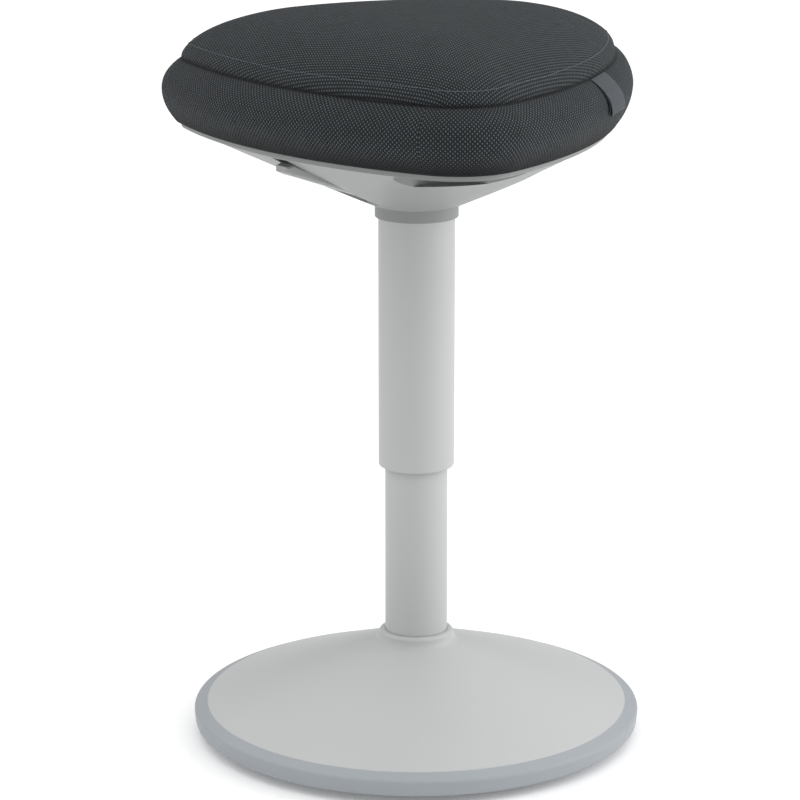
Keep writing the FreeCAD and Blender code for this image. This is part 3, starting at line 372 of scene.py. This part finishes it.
def finishes() -> dict[str, Any]:
    """The finish of each material slot.

    Returns:
        Finishes by the record's slot names.
    """
    return {
        "grey_paint": Coating(
            "light_grey_powder_coat", (0.515, 0.525, 0.525), (0.49, 0.50, 0.50),
            roughness=0.48, roughness_spread=0.06, grain=1.2 * MM, grain_depth=0.02 * MM, specular=0.45),
        "shell_plastic": Coating(
            "light_grey_moulding", (0.285, 0.295, 0.295), (0.265, 0.275, 0.275),
            roughness=0.5, roughness_spread=0.05, grain=0.9 * MM, grain_depth=0.015 * MM, specular=0.4),
        "lever_plastic": Coating(
            "lever_moulding", (0.34, 0.35, 0.35), (0.32, 0.33, 0.33),
            roughness=0.42, roughness_spread=0.05, grain=0.9 * MM, grain_depth=0.012 * MM, specular=0.45),
        "rim_rubber": Coating(
            "blue_grey_rubber", (0.36, 0.385, 0.41), (0.33, 0.355, 0.38),
            roughness=0.52, roughness_spread=0.08, grain=0.8 * MM, grain_depth=0.02 * MM, specular=0.4),
        "sole_rubber": Coating(
            "sole_rubber", (0.075, 0.08, 0.085), (0.05, 0.055, 0.06),
            roughness=0.75, roughness_spread=0.1, grain=1.0 * MM, grain_depth=0.06 * MM, specular=0.3),
        "seal_rubber": Coating(
            "seal_rubber", (0.03, 0.03, 0.03), (0.018, 0.018, 0.018),
            roughness=0.6, roughness_spread=0.1, grain=0.6 * MM, grain_depth=0.02 * MM),
        "black_plastic": Coating(
            "black_moulding", (0.035, 0.035, 0.037), (0.022, 0.022, 0.024),
            roughness=0.5, roughness_spread=0.1, grain=0.7 * MM, grain_depth=0.02 * MM),
        "black_paint": Coating(
            "satin_black_paint", (0.03, 0.03, 0.032), (0.018, 0.018, 0.02),
            roughness=0.4, roughness_spread=0.1, grain=1.0 * MM, grain_depth=0.02 * MM),
        "steel": Coating(
            "zinc_plated_steel", (0.62, 0.62, 0.61), (0.48, 0.48, 0.49),
            roughness=0.36, roughness_spread=0.14, grain=0.8 * MM, grain_depth=0.01 * MM, metallic=1.0),
        "chrome": Coating(
            "ground_chrome", (0.80, 0.80, 0.81), (0.72, 0.72, 0.74),
            roughness=0.14, roughness_spread=0.08, grain=0.6 * MM, grain_depth=0.004 * MM, metallic=1.0),
        "iron": Coating(
            "cast_iron", (0.09, 0.09, 0.09), (0.05, 0.05, 0.052),
            roughness=0.68, roughness_spread=0.2, grain=1.6 * MM, grain_depth=0.18 * MM, metallic=0.4),
        "foam": Coating(
            "seat_foam", (0.72, 0.66, 0.42), (0.6, 0.54, 0.33),
            roughness=0.9, roughness_spread=0.05, grain=1.8 * MM, grain_depth=0.6 * MM),
        "plywood": Plywood("birch_plywood", (0.62, 0.45, 0.27), (0.42, 0.28, 0.15)),
        "seat_fabric": Weave(
            "slate_cloth", (0.088, 0.103, 0.112), (0.019, 0.023, 0.026), (0.004, 0.005, 0.006),
            pitch=1.8 * MM, depth=0.5 * MM, roughness=0.85),
        "tag_fabric": Ribbon(
            "tag_ribbon", (0.085, 0.095, 0.105), (0.045, 0.052, 0.060), pitch=0.5 * MM, depth=0.12 * MM),
        "seam_thread": Ribbon(
            "seam_thread", (0.17, 0.19, 0.205), (0.09, 0.10, 0.11), pitch=0.35 * MM, depth=0.1 * MM),
    }


class Wardrobe:
    """Makes each finish once and hands it out."""

    def __init__(self) -> None:
        """Starts with no material made."""
        self.finishes = finishes()
        self.made: dict[str, bpy.types.Material] = {}

    def material(self, slot: str) -> bpy.types.Material:
        """The material of a slot, made when first asked for."""
        if slot not in self.made:
            self.made[slot] = self.finishes[slot].material()
        return self.made[slot]

    def dress(self, piece: bpy.types.Object, slot: str) -> None:
        """Gives a piece the one material of a slot."""
        piece.data.materials.clear()
        piece.data.materials.append(self.material(slot))

    def dress_frame(self) -> None:
        """Gives every CAD node the finish of its slot in the record."""
        for subpart in frame["record"]["subparts"]:
            piece = frame["nodes"][subpart["node"]]
            for place in piece.material_slots:
                place.material = self.material(subpart["material_slot"])
            log.info("%s: %s", subpart["node"], subpart["material_slot"])


@dataclass(frozen=True)
class SeatOutline:
    """The seat's widest outline: a rounded triangle of six tangent arcs with a corner towards -Y."""

    corner_reach: float = 145 * MM
    corner_radius: float = 64 * MM
    side_radius: float = 420 * MM

    def side_push(self) -> float:
        """How far each side's centre lies beyond the column axis, away from its side."""
        gap = self.side_radius - self.corner_radius
        return (math.sqrt(4 * gap ** 2 - 3 * self.corner_reach ** 2) - self.corner_reach) / 2

    def side_distance(self) -> float:
        """Distance from the column axis to the middle of a side."""
        return self.side_radius - self.side_push()

    def arcs(self) -> list[tuple[Vector, float, float, float]]:
        """The arcs in order.

        Returns:
            Each arc's centre, radius, first and last angle.
        """
        step = math.radians(120)
        push = self.side_push()
        made = []
        for corner in range(3):
            heading = -math.pi / 2 + step * corner
            centre = Vector((math.cos(heading), math.sin(heading))) * self.corner_reach
            side_heading = heading + step / 2
            side_centre = Vector((math.cos(side_heading), math.sin(side_heading))) * -push
            tie = centre - side_centre
            lean = side_heading - math.atan2(tie.y, tie.x)
            lean = (lean + math.pi) % (2 * math.pi) - math.pi
            half = step / 2 - lean
            made.append((centre, self.corner_radius, heading - half, heading + half))
            made.append((side_centre, self.side_radius, side_heading - lean, side_heading + lean))
        return made

    def length(self) -> float:
        """Length of the whole outline."""
        return sum(radius * (last - first) for _, radius, first, last in self.arcs())

    def at(self, distance: float) -> tuple[Vector, Vector]:
        """A place on the outline.

        Args:
            distance: How far along the outline, in metres.

        Returns:
            The point and the outward normal there.
        """
        rest = distance % self.length()
        for centre, radius, first, last in self.arcs():
            span = radius * (last - first)
            if rest <= span:
                angle = first + rest / radius
                normal = Vector((math.cos(angle), math.sin(angle)))
                return centre + normal * radius, normal
            rest -= span
        raise ValueError("the outline has no place at %f" % distance)

    def evenly(self, count: int) -> list[tuple[Vector, Vector]]:
        """Evenly spaced places, as points with their normals."""
        return [self.at(self.length() * index / count) for index in range(count)]


class Panel(Enum):
    """The parts of the cushion's cover."""

    UNDER = "under"
    BAND = "band"
    TOP = "top"


@dataclass(frozen=True)
class Ring:
    """One ring of the cushion's mesh."""

    panel: Panel
    inset: float
    share: float
    height: float
    held: float
    # painted shade: how far the cloth's colour is darkened towards the fold colour on this ring
    painted_shade: float = 0.0


def finish_piece(piece: bpy.types.Object, body: str) -> None:
    """Shades a piece smooth, rides it on a body and reports it."""
    piece.data.shade_smooth()
    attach(piece, body)
    log.info("%s: %d faces, rides on %s", piece.name, len(piece.data.polygons), body)


def mesh_piece(name: str, build: bmesh.types.BMesh) -> bpy.types.Object:
    """Turns a built mesh into an object at the origin."""
    mesh = bpy.data.meshes.new(name)
    build.to_mesh(mesh)
    build.free()
    piece = bpy.data.objects.new(name, mesh)
    bpy.context.scene.collection.objects.link(piece)
    return piece


def only(piece: bpy.types.Object) -> None:
    """Deselects everything and makes one piece selected and active."""
    bpy.ops.object.select_all(action="DESELECT")
    piece.select_set(True)
    bpy.context.view_layer.objects.active = piece


@dataclass
class Cushion:
    """The sewn cushion: a side band and a crowned top panel that meet in a seam."""

    outline: SeatOutline = field(default_factory=SeatOutline)
    foot_height: float = 494 * MM
    foot_inset: float = 10 * MM
    hem_height: float = 491.8 * MM
    hem_inset: float = 15.2 * MM
    widest_height: float = 518 * MM
    seam_height: float = 541.5 * MM
    seam_inset: float = 15.5 * MM
    crown: float = 46.5 * MM
    lower_power: float = 2.0
    upper_power: float = 2.2
    crown_power: float = 2.5
    crown_roundness: float = 1.8
    seam_depth: float = 0.8 * MM
    slack: float = 0.3 * MM
    cap: float = 2.0 * MM
    pressure: float = 4.0
    frames: int = 20
    around: int = 216
    foot_shades: tuple[float, ...] = (0.95, 0.8, 0.55, 0.3, 0.12)
    full_corner: float = math.radians(30)
    fullness: float = 7.0 * MM
    fullness_power: int = 4
    fullness_start: float = 0.35
    fullness_slope: float = 0.8
    under_shares: tuple[float, ...] = (0.3, 0.6, 0.9)
    hem_roll: float = 0.6 * MM
    foot_roll: float = 0.7 * MM
    foot_dip: float = 1.3 * MM
    foot_dip_shade: float = 0.95
    band_rows: int = 16
    seam_flanks: tuple[float, ...] = (1.8 * MM, 0.8 * MM)
    seam_shares: tuple[float, ...] = (0.996, 0.988)
    crown_rows: int = 26
    crown_start: float = 0.98
    crown_end: float = 0.02
    crown_closeness: float = 1.25
    cloth_stiffness: float = 40
    bending_stiffness: float = 0.8
    wander_start: float = 2 * MM
    wander_waves: tuple[tuple[float, float], ...] = ((22, 0.35 * MM), (60, 0.12 * MM))

    def band_place(self, height: float) -> float:
        """Inset of the side band at a height."""
        if height < self.widest_height:
            share = (height - self.foot_height) / (self.widest_height - self.foot_height)
            return self.foot_inset * (1 - share) ** self.lower_power
        share = (height - self.widest_height) / (self.seam_height - self.widest_height)
        return self.seam_inset * share ** self.upper_power

    def crown_height(self, share: float) -> float:
        """Height of the top panel where the seam's outline is shrunk to a share."""
        rise = (1 - share ** self.crown_power) ** (1 / self.crown_roundness)
        return self.seam_height + self.crown * rise

    def rings(self) -> list[Ring]:
        """The rings from the hidden middle of the underside to the top of the crown."""
        foot = self.foot_height
        seam = self.seam_height
        hem_turn = (self.hem_inset + self.foot_inset) / 2 + self.hem_roll
        foot_turn = self.foot_inset + self.foot_roll
        made = [Ring(Panel.UNDER, self.hem_inset, share, foot, 1.0) for share in self.under_shares]
        made.append(Ring(Panel.UNDER, self.hem_inset, 1.0, self.hem_height, 1.0))
        made.append(Ring(Panel.UNDER, hem_turn, 1.0, self.hem_height, 1.0))
        made.append(Ring(Panel.UNDER, foot_turn, 1.0, foot - self.foot_dip, 1.0, self.foot_dip_shade))
        for index in range(self.band_rows):
            height = foot + (seam - foot) * index / self.band_rows
            sag = math.sin(math.pi * index / self.band_rows) * self.slack
            held = 1.0 if index == 0 else 0.0
            # Painted shade on the lowest band rows, fading up from where the cover turns under.
            painted_shade = self.foot_shades[index] if index < len(self.foot_shades) else 0.0
            made.append(Ring(Panel.BAND, self.band_place(height) + sag, 1.0, height, held, painted_shade))
        for below in self.seam_flanks:
            height = seam - below
            made.append(Ring(Panel.BAND, self.band_place(height), 1.0, height, 1.0))
        # The seam groove's ring carries full painted shade.
        made.append(Ring(Panel.BAND, self.seam_inset + self.seam_depth, 1.0, seam, 1.0, 1.0))
        for share in self.seam_shares:
            made.append(Ring(Panel.TOP, self.seam_inset, share, self.crown_height(share), 1.0))
        for index in range(1, self.crown_rows):
            share = self.crown_start * (1 - (index / self.crown_rows) ** self.crown_closeness)
            sag = math.sin(math.pi * share) * self.slack
            height = self.crown_height(share) - sag
            made.append(Ring(Panel.TOP, self.seam_inset, max(share, self.crown_end), height, 0.0))
        return made

    def build(self) -> bpy.types.Object:
        """Builds, inflates and smooths the cushion.

        Returns:
            The finished piece.
        """
        spots = self.outline.evenly(self.around)
        rings = self.rings()
        build = bmesh.new()
        cloth_map = build.loops.layers.uv.new(CLOTH_MAP)
        rows = [self.ring_points(build, ring, spots) for ring in rings]
        self.skin(build, rings, rows, cloth_map)
        piece = mesh_piece("cushion_cover", build)
        # Each ring's painted shade, stored on its points for the cloth's colour.
        painted_shade = piece.data.attributes.new(PAINTED_SHADE, "FLOAT", "POINT")
        for row, ring in enumerate(rings):
            for index in range(row * self.around, (row + 1) * self.around):
                painted_shade.data[index].value = ring.painted_shade
        group = piece.vertex_groups.new(name="held")
        for row, ring in enumerate(rings):
            if ring.held:
                group.add(range(row * self.around, (row + 1) * self.around), ring.held, "REPLACE")
        self.inflate(piece)
        self.wander(piece)
        only(piece)
        smooth = piece.modifiers.new("smooth", "SUBSURF")
        smooth.levels = smooth.render_levels = 1
        bpy.ops.object.modifier_apply(modifier=smooth.name)
        piece.vertex_groups.clear()
        finish_piece(piece, "seat")
        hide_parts("seat_cover", "foam_core")
        return piece

    def swell(self, normal: Vector, height: float) -> float:
        """How far the fuller corner pushes the cover out.

        Args:
            normal: The way that the outline faces there.
            height: The height there.

        Returns:
            The push along the normal, in metres.
        """
        heading = Vector((math.cos(self.full_corner), math.sin(self.full_corner)))
        rise = (height - self.widest_height) / (self.seam_height - self.widest_height)
        lift = min(max(rise * self.fullness_slope + self.fullness_start, 0.0), 1.0)
        return self.fullness * max(normal.dot(heading), 0.0) ** self.fullness_power * lift

    def ring_points(self, build: bmesh.types.BMesh, ring: Ring, spots: list) -> list:
        """Adds the points of one ring."""
        row = []
        for point, normal in spots:
            inset = ring.inset - self.swell(normal, ring.height)
            flat = (point - normal * inset) * ring.share
            row.append(build.verts.new((flat.x, flat.y, ring.height)))
        return row

    def skin(self, build: bmesh.types.BMesh, rings: list[Ring], rows: list, cloth_map: Any) -> None:
        """Joins the rings by faces, closes both poles and lays the cloth's own map."""
        step = self.outline.length() / self.around
        level = 0.0
        spreads = self.spreads(rows)
        for row, (lower, upper, ring, following) in enumerate(zip(rows, rows[1:], rings, rings[1:])):
            run = math.hypot(following.height - ring.height, following.inset - ring.inset)
            heights = (level, level, level + run, level + run)
            face_spreads = (spreads[row], spreads[row], spreads[row + 1], spreads[row + 1])
            for index in range(self.around):
                after = (index + 1) % self.around
                face = build.faces.new((lower[index], lower[after], upper[after], upper[index]))
                places = (index, index + 1, index + 1, index)
                for loop, place, height, spread in zip(face.loops, places, heights, face_spreads):
                    if following.panel is Panel.TOP:
                        loop[cloth_map].uv = loop.vert.co.xy * spread
                    else:
                        loop[cloth_map].uv = (place * step, height)
            level += run
        for row, turned in ((rows[0], True), (rows[-1], False)):
            middle = sum((point.co for point in row), Vector()) / len(row)
            pole = build.verts.new(middle)
            for index in range(self.around):
                pair = (row[index], row[(index + 1) % self.around])
                first, second = reversed(pair) if turned else pair
                face = build.faces.new((first, second, pole))
                for loop in face.loops:
                    loop[cloth_map].uv = loop.vert.co.xy

    def spreads(self, rows: list) -> list[float]:
        """How much longer the way over the crown is than the straight way, for each ring.

        Args:
            rows: The rings' points, from the underside to the crown.

        Returns:
            A factor for each ring, counted from the middle of the crown.
        """
        way = rows[-1][0].co.xy.length
        made = [1.0]
        for outer, inner in zip(rows[-2::-1], rows[:0:-1]):
            way += (outer[0].co - inner[0].co).length
            made.append(way / outer[0].co.xy.length)
        return made[::-1]

    def inflate(self, piece: bpy.types.Object) -> None:
        """Lets cloth under pressure find its shape, and keeps how far each point may move."""
        scene = bpy.context.scene
        rest = [point.co.copy() for point in piece.data.vertices]
        cloth = piece.modifiers.new("cloth", "CLOTH")
        settings = cloth.settings
        settings.vertex_group_mass = "held"
        settings.use_pressure = True
        settings.uniform_pressure_force = self.pressure
        settings.effector_weights.gravity = 0
        settings.tension_stiffness = self.cloth_stiffness
        settings.compression_stiffness = self.cloth_stiffness
        settings.bending_stiffness = self.bending_stiffness
        cloth.point_cache.frame_start = 1
        cloth.point_cache.frame_end = self.frames
        for number in range(1, self.frames + 1):
            scene.frame_set(number)
        settled = piece.evaluated_get(bpy.context.evaluated_depsgraph_get())
        for point, start, end in zip(piece.data.vertices, rest, settled.data.vertices):
            move = end.co - start
            if move.length > self.cap:
                move.length = self.cap
            point.co = start + move
        piece.modifiers.remove(cloth)
        scene.frame_set(1)

    def wander(self, piece: bpy.types.Object) -> None:
        """Adds the slight unevenness of stretched cloth over foam."""
        for point in piece.data.vertices:
            if point.co.z >= self.foot_height + self.wander_start:
                swell = sum(noise.noise(point.co * pace) * depth for pace, depth in self.wander_waves)
                point.co += point.normal * swell


@dataclass
class Stitches:
    """The line of stitches in the top panel, beside the seam."""

    cushion: Cushion
    pitch: float = 3.3 * MM
    length: float = 2.3 * MM
    width: float = 0.55 * MM
    seam_offset: float = 6.5 * MM
    lift: float = 0.12 * MM
    sides: int = 8
    core_share: float = 0.6
    end_share: float = 0.2
    end_drop_share: float = 0.35
    end_taper: float = 0.5
    facing_limit: float = 0.9

    def pattern(self) -> bpy.types.Object:
        """One stitch: a short rounded thread, a few dozen faces."""
        drop = -self.width * self.end_drop_share
        bpy.ops.object.select_all(action="DESELECT")
        bpy.ops.mesh.primitive_cylinder_add(vertices=self.sides, radius=self.width / 2,
                                            depth=self.length * self.core_share,
                                            rotation=(0, math.pi / 2, 0))
        stitch = bpy.context.object
        bpy.ops.object.transform_apply(location=True, rotation=True, scale=True)
        bpy.ops.object.mode_set(mode="EDIT")
        for side in (-1, 1):
            bpy.ops.mesh.select_mode(type="FACE")
            bpy.ops.mesh.select_all(action="DESELECT")
            build = bmesh.from_edit_mesh(stitch.data)
            for face in build.faces:
                face.select = face.normal.x * side > self.facing_limit
            bmesh.update_edit_mesh(stitch.data)
            move = (self.length * self.end_share * side, 0, drop)
            bpy.ops.mesh.extrude_region_move(TRANSFORM_OT_translate={"value": move})
            bpy.ops.transform.resize(value=(1, self.end_taper, self.end_taper),
                                     center_override=(self.length / 2 * side, 0, drop))
        bpy.ops.object.mode_set(mode="OBJECT")
        return stitch

    def build(self, cover: bpy.types.Object) -> bpy.types.Object:
        """Copies the stitch along the seam, onto the cover's own surface.

        Args:
            cover: The finished cushion cover.

        Returns:
            The line of stitches.
        """
        pattern = self.pattern()
        cushion = self.cushion
        outline = cushion.outline
        count = round(outline.length() / self.pitch)
        build = bmesh.new()
        for index in range(count):
            point, normal = outline.at(outline.length() * index / count)
            swell = cushion.swell(normal, cushion.seam_height)
            flat = point - normal * (cushion.seam_inset - swell + self.seam_offset)
            above = Vector((flat.x, flat.y, cushion.seam_height + cushion.crown * 2))
            hit, spot, facing, _ = cover.ray_cast(above, Vector((0, 0, -1)))
            if not hit:
                continue
            along = Vector((-normal.y, normal.x, 0))
            along = (along - facing * along.dot(facing)).normalized()
            turn = Matrix((along, facing.cross(along), facing)).transposed().to_4x4()
            turn.translation = spot + facing * self.lift
            before = len(build.verts)
            build.from_mesh(pattern.data)
            build.verts.ensure_lookup_table()
            for vertex in build.verts[before:]:
                vertex.co = turn @ vertex.co
        cloth_map = build.loops.layers.uv[PLAIN_MAP]
        for face in build.faces:
            for loop in face.loops:
                loop[cloth_map].uv = (loop.vert.co.x + loop.vert.co.y, loop.vert.co.z)
        piece = mesh_piece("seam_stitches", build)
        piece.data.uv_layers[PLAIN_MAP].name = CLOTH_MAP
        bpy.data.objects.remove(pattern)
        finish_piece(piece, "seat")
        return piece


@dataclass
class Tag:
    """The bare woven tag: a ribbon folded into a loop whose ends are sewn into the seam."""

    cushion: Cushion
    heading: float = math.radians(-30)
    width: float = 38 * MM
    drop: float = 26 * MM
    thickness: float = 0.5 * MM
    opening: float = 1.5 * MM
    clearance: float = 0.3 * MM
    steps: int = 14
    opening_power: float = 1.4
    fold_steps: int = 6
    edge_share: float = 0.3
    edge_steps: int = 2

    def band_reach(self, height: float) -> float:
        """Distance from the column axis to the side band's middle at a height."""
        return self.cushion.outline.side_distance() - self.cushion.band_place(height)

    def route(self) -> list[tuple[float, float]]:
        """The ribbon's middle line.

        Returns:
            Places as pairs of reach and height, down the inner layer and up the outer one.
        """
        top = self.cushion.seam_height
        inner = []
        outer = []
        for index in range(self.steps + 1):
            share = index / self.steps
            height = top - self.drop * share
            reach = self.band_reach(height) + self.clearance + self.thickness / 2
            inner.append((reach, height))
            spread = self.opening * share ** self.opening_power
            outer.append((reach + self.thickness + spread, height))
        middle = (Vector(inner[-1]) + Vector(outer[-1])) / 2
        radius = (Vector(outer[-1]) - Vector(inner[-1])).length / 2
        fold = []
        for index in range(1, self.fold_steps):
            angle = math.pi + math.pi * index / self.fold_steps
            fold.append((middle.x + radius * math.cos(angle), middle.y + radius * math.sin(angle)))
        return inner + fold + outer[::-1]

    def build(self) -> bpy.types.Object:
        """Extrudes a strip along the ribbon's line and gives it thickness.

        Returns:
            The finished tag.
        """
        places = [Vector((reach, 0, height)) for reach, height in self.route()]
        bpy.ops.object.select_all(action="DESELECT")
        bpy.ops.mesh.primitive_plane_add(size=self.width, location=places[0])
        strip = bpy.context.object
        strip.name = strip.data.name = "bare_tag"
        bpy.ops.object.transform_apply(location=True, rotation=True, scale=True)
        bpy.ops.object.mode_set(mode="EDIT")
        bpy.ops.mesh.select_all(action="SELECT")
        bpy.ops.mesh.delete(type="ONLY_FACE")
        build = bmesh.from_edit_mesh(strip.data)
        far = [point for point in build.verts if point.co.x > places[0].x]
        bmesh.ops.delete(build, geom=far, context="VERTS")
        for point in build.verts:
            point.co.x = places[0].x
            point.select = True
        build.select_flush(True)
        bmesh.update_edit_mesh(strip.data)
        bpy.ops.mesh.select_mode(type="EDGE")
        bpy.ops.mesh.select_all(action="SELECT")
        for before, after in zip(places, places[1:]):
            bpy.ops.mesh.extrude_region_move(TRANSFORM_OT_translate={"value": after - before})
        bpy.ops.object.mode_set(mode="OBJECT")
        self.lay_map(strip, places)
        strip.data.transform(Matrix.Rotation(self.heading, 4, "Z"))
        only(strip)
        wall = strip.modifiers.new("wall", "SOLIDIFY")
        wall.thickness = self.thickness
        wall.offset = 0
        edge = strip.modifiers.new("edge", "BEVEL")
        edge.width = self.thickness * self.edge_share
        edge.segments = self.edge_steps
        edge.limit_method = "ANGLE"
        for name in ("wall", "edge"):
            bpy.ops.object.modifier_apply(modifier=name)
        finish_piece(strip, "seat")
        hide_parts("side_tag")
        return strip

    def lay_map(self, strip: bpy.types.Object, places: list[Vector]) -> None:
        """Lays the ribbon's map: length along it and width across it."""
        runs = [0.0]
        for before, after in zip(places, places[1:]):
            runs.append(runs[-1] + (after - before).length)
        layer = strip.data.uv_layers.get(PLAIN_MAP) or strip.data.uv_layers.new(name=PLAIN_MAP)
        layer.name = CLOTH_MAP
        for loop in strip.data.loops:
            point = strip.data.vertices[loop.vertex_index].co
            nearest = min(range(len(places)), key=lambda row: (places[row].xz - point.xz).length)
            layer.data[loop.index].uv = (runs[nearest], point.y)


@dataclass(frozen=True)
class SoftLight:
    """A square area light that faces the stool."""

    name: str
    place: Triple
    size: float
    power: float


@dataclass
class Studio:
    """Floor, soft lights and the camera at the photograph's place."""

    camera_distance: float = 2.5
    camera_height: float = 0.942
    camera_turn: float = math.radians(-12)
    camera_pitch: float = math.radians(14.96)
    camera_yaw: float = math.radians(-0.30)
    focal_pixels: float = 3251
    picture_pixels: float = 800
    sensor: float = 36
    floor_size: float = 40
    floor_glow: float = 0.14
    horizon_strength: float = 0.03
    zenith_strength: float = 1.55
    lit_height: float = 0.3
    lights: tuple[SoftLight, ...] = (
        SoftLight("key", (2.9, -0.5, 1.2), 1.8, 38),
        SoftLight("left_fill", (-2.8, 1.3, 1.0), 1.6, 8),
    )

    def build(self) -> None:
        """Makes the floor, the world, the lights and the camera."""
        self.floor()
        self.world()
        for light in self.lights:
            self.light(light)
        self.camera()

    def floor(self) -> None:
        """A plain pale floor."""
        bpy.ops.object.select_all(action="DESELECT")
        bpy.ops.mesh.primitive_plane_add(size=self.floor_size)
        ground = bpy.context.object
        ground.name = ground.data.name = "studio_floor"
        pale = Coating("studio_floor", (0.92, 0.92, 0.92), (0.9, 0.9, 0.9), roughness=0.8,
                       roughness_spread=0.02, grain=10 * MM, grain_depth=0.01 * MM, specular=0.1)
        finish = pale.material()
        shader = finish.node_tree.nodes["Principled BSDF"]
        shader.inputs["Emission Color"].default_value = WHITE
        shader.inputs["Emission Strength"].default_value = self.floor_glow
        ground.data.materials.append(finish)

    def world(self) -> None:
        """A pale surround that is brightest overhead."""
        surround = bpy.data.worlds.new("surround")
        surround.use_nodes = True
        tree = surround.node_tree
        where = tree.nodes.new("ShaderNodeTexCoord")
        split = tree.nodes.new("ShaderNodeSeparateXYZ")
        fade = tree.nodes.new("ShaderNodeMapRange")
        fade.inputs["To Min"].default_value = self.horizon_strength
        fade.inputs["To Max"].default_value = self.zenith_strength
        fade.interpolation_type = "SMOOTHSTEP"
        background = tree.nodes["Background"]
        background.inputs["Color"].default_value = WHITE
        tree.links.new(where.outputs["Generated"], split.inputs["Vector"])
        tree.links.new(split.outputs["Z"], fade.inputs["Value"])
        tree.links.new(fade.outputs["Result"], background.inputs["Strength"])
        bpy.context.scene.world = surround
        bpy.context.scene.view_settings.view_transform = "Standard"

    def light(self, light: SoftLight) -> None:
        """Sets up one area light and turns it to the stool."""
        lamp = bpy.data.lights.new(light.name, "AREA")
        lamp.size = light.size
        lamp.energy = light.power
        stand = bpy.data.objects.new(light.name, lamp)
        stand.location = light.place
        stand.rotation_mode = "QUATERNION"
        beam = Vector((0, 0, self.lit_height)) - Vector(light.place)
        stand.rotation_quaternion = beam.to_track_quat("-Z", "Y")
        bpy.context.scene.collection.objects.link(stand)

    def camera(self) -> None:
        """The camera that took the photograph, as fitted to it."""
        view = bpy.data.cameras.new("photo_camera")
        view.sensor_width = self.sensor
        view.lens = self.focal_pixels * self.sensor / self.picture_pixels
        stand = bpy.data.objects.new("photo_camera", view)
        turn = Matrix.Rotation(self.camera_turn, 3, "Z")
        stand.location = turn @ Vector((0, -self.camera_distance, self.camera_height))
        flat = math.cos(self.camera_pitch)
        gaze = turn @ Vector((math.sin(self.camera_yaw) * flat, math.cos(self.camera_yaw) * flat,
                              -math.sin(self.camera_pitch)))
        stand.rotation_mode = "QUATERNION"
        stand.rotation_quaternion = gaze.to_track_quat("-Z", "Y")
        bpy.context.scene.collection.objects.link(stand)
        bpy.context.scene.camera = stand


def main() -> None:
    """Dresses the stool and sets it in the studio."""
    wardrobe = Wardrobe()
    wardrobe.dress_frame()
    cushion = Cushion()
    cover = cushion.build()
    wardrobe.dress(cover, "seat_fabric")
    stitches = Stitches(cushion).build(cover)
    wardrobe.dress(stitches, "seam_thread")
    tag = Tag(cushion).build()
    wardrobe.dress(tag, "tag_fabric")
    Studio().build()


if __name__ == "__main__":
    main()
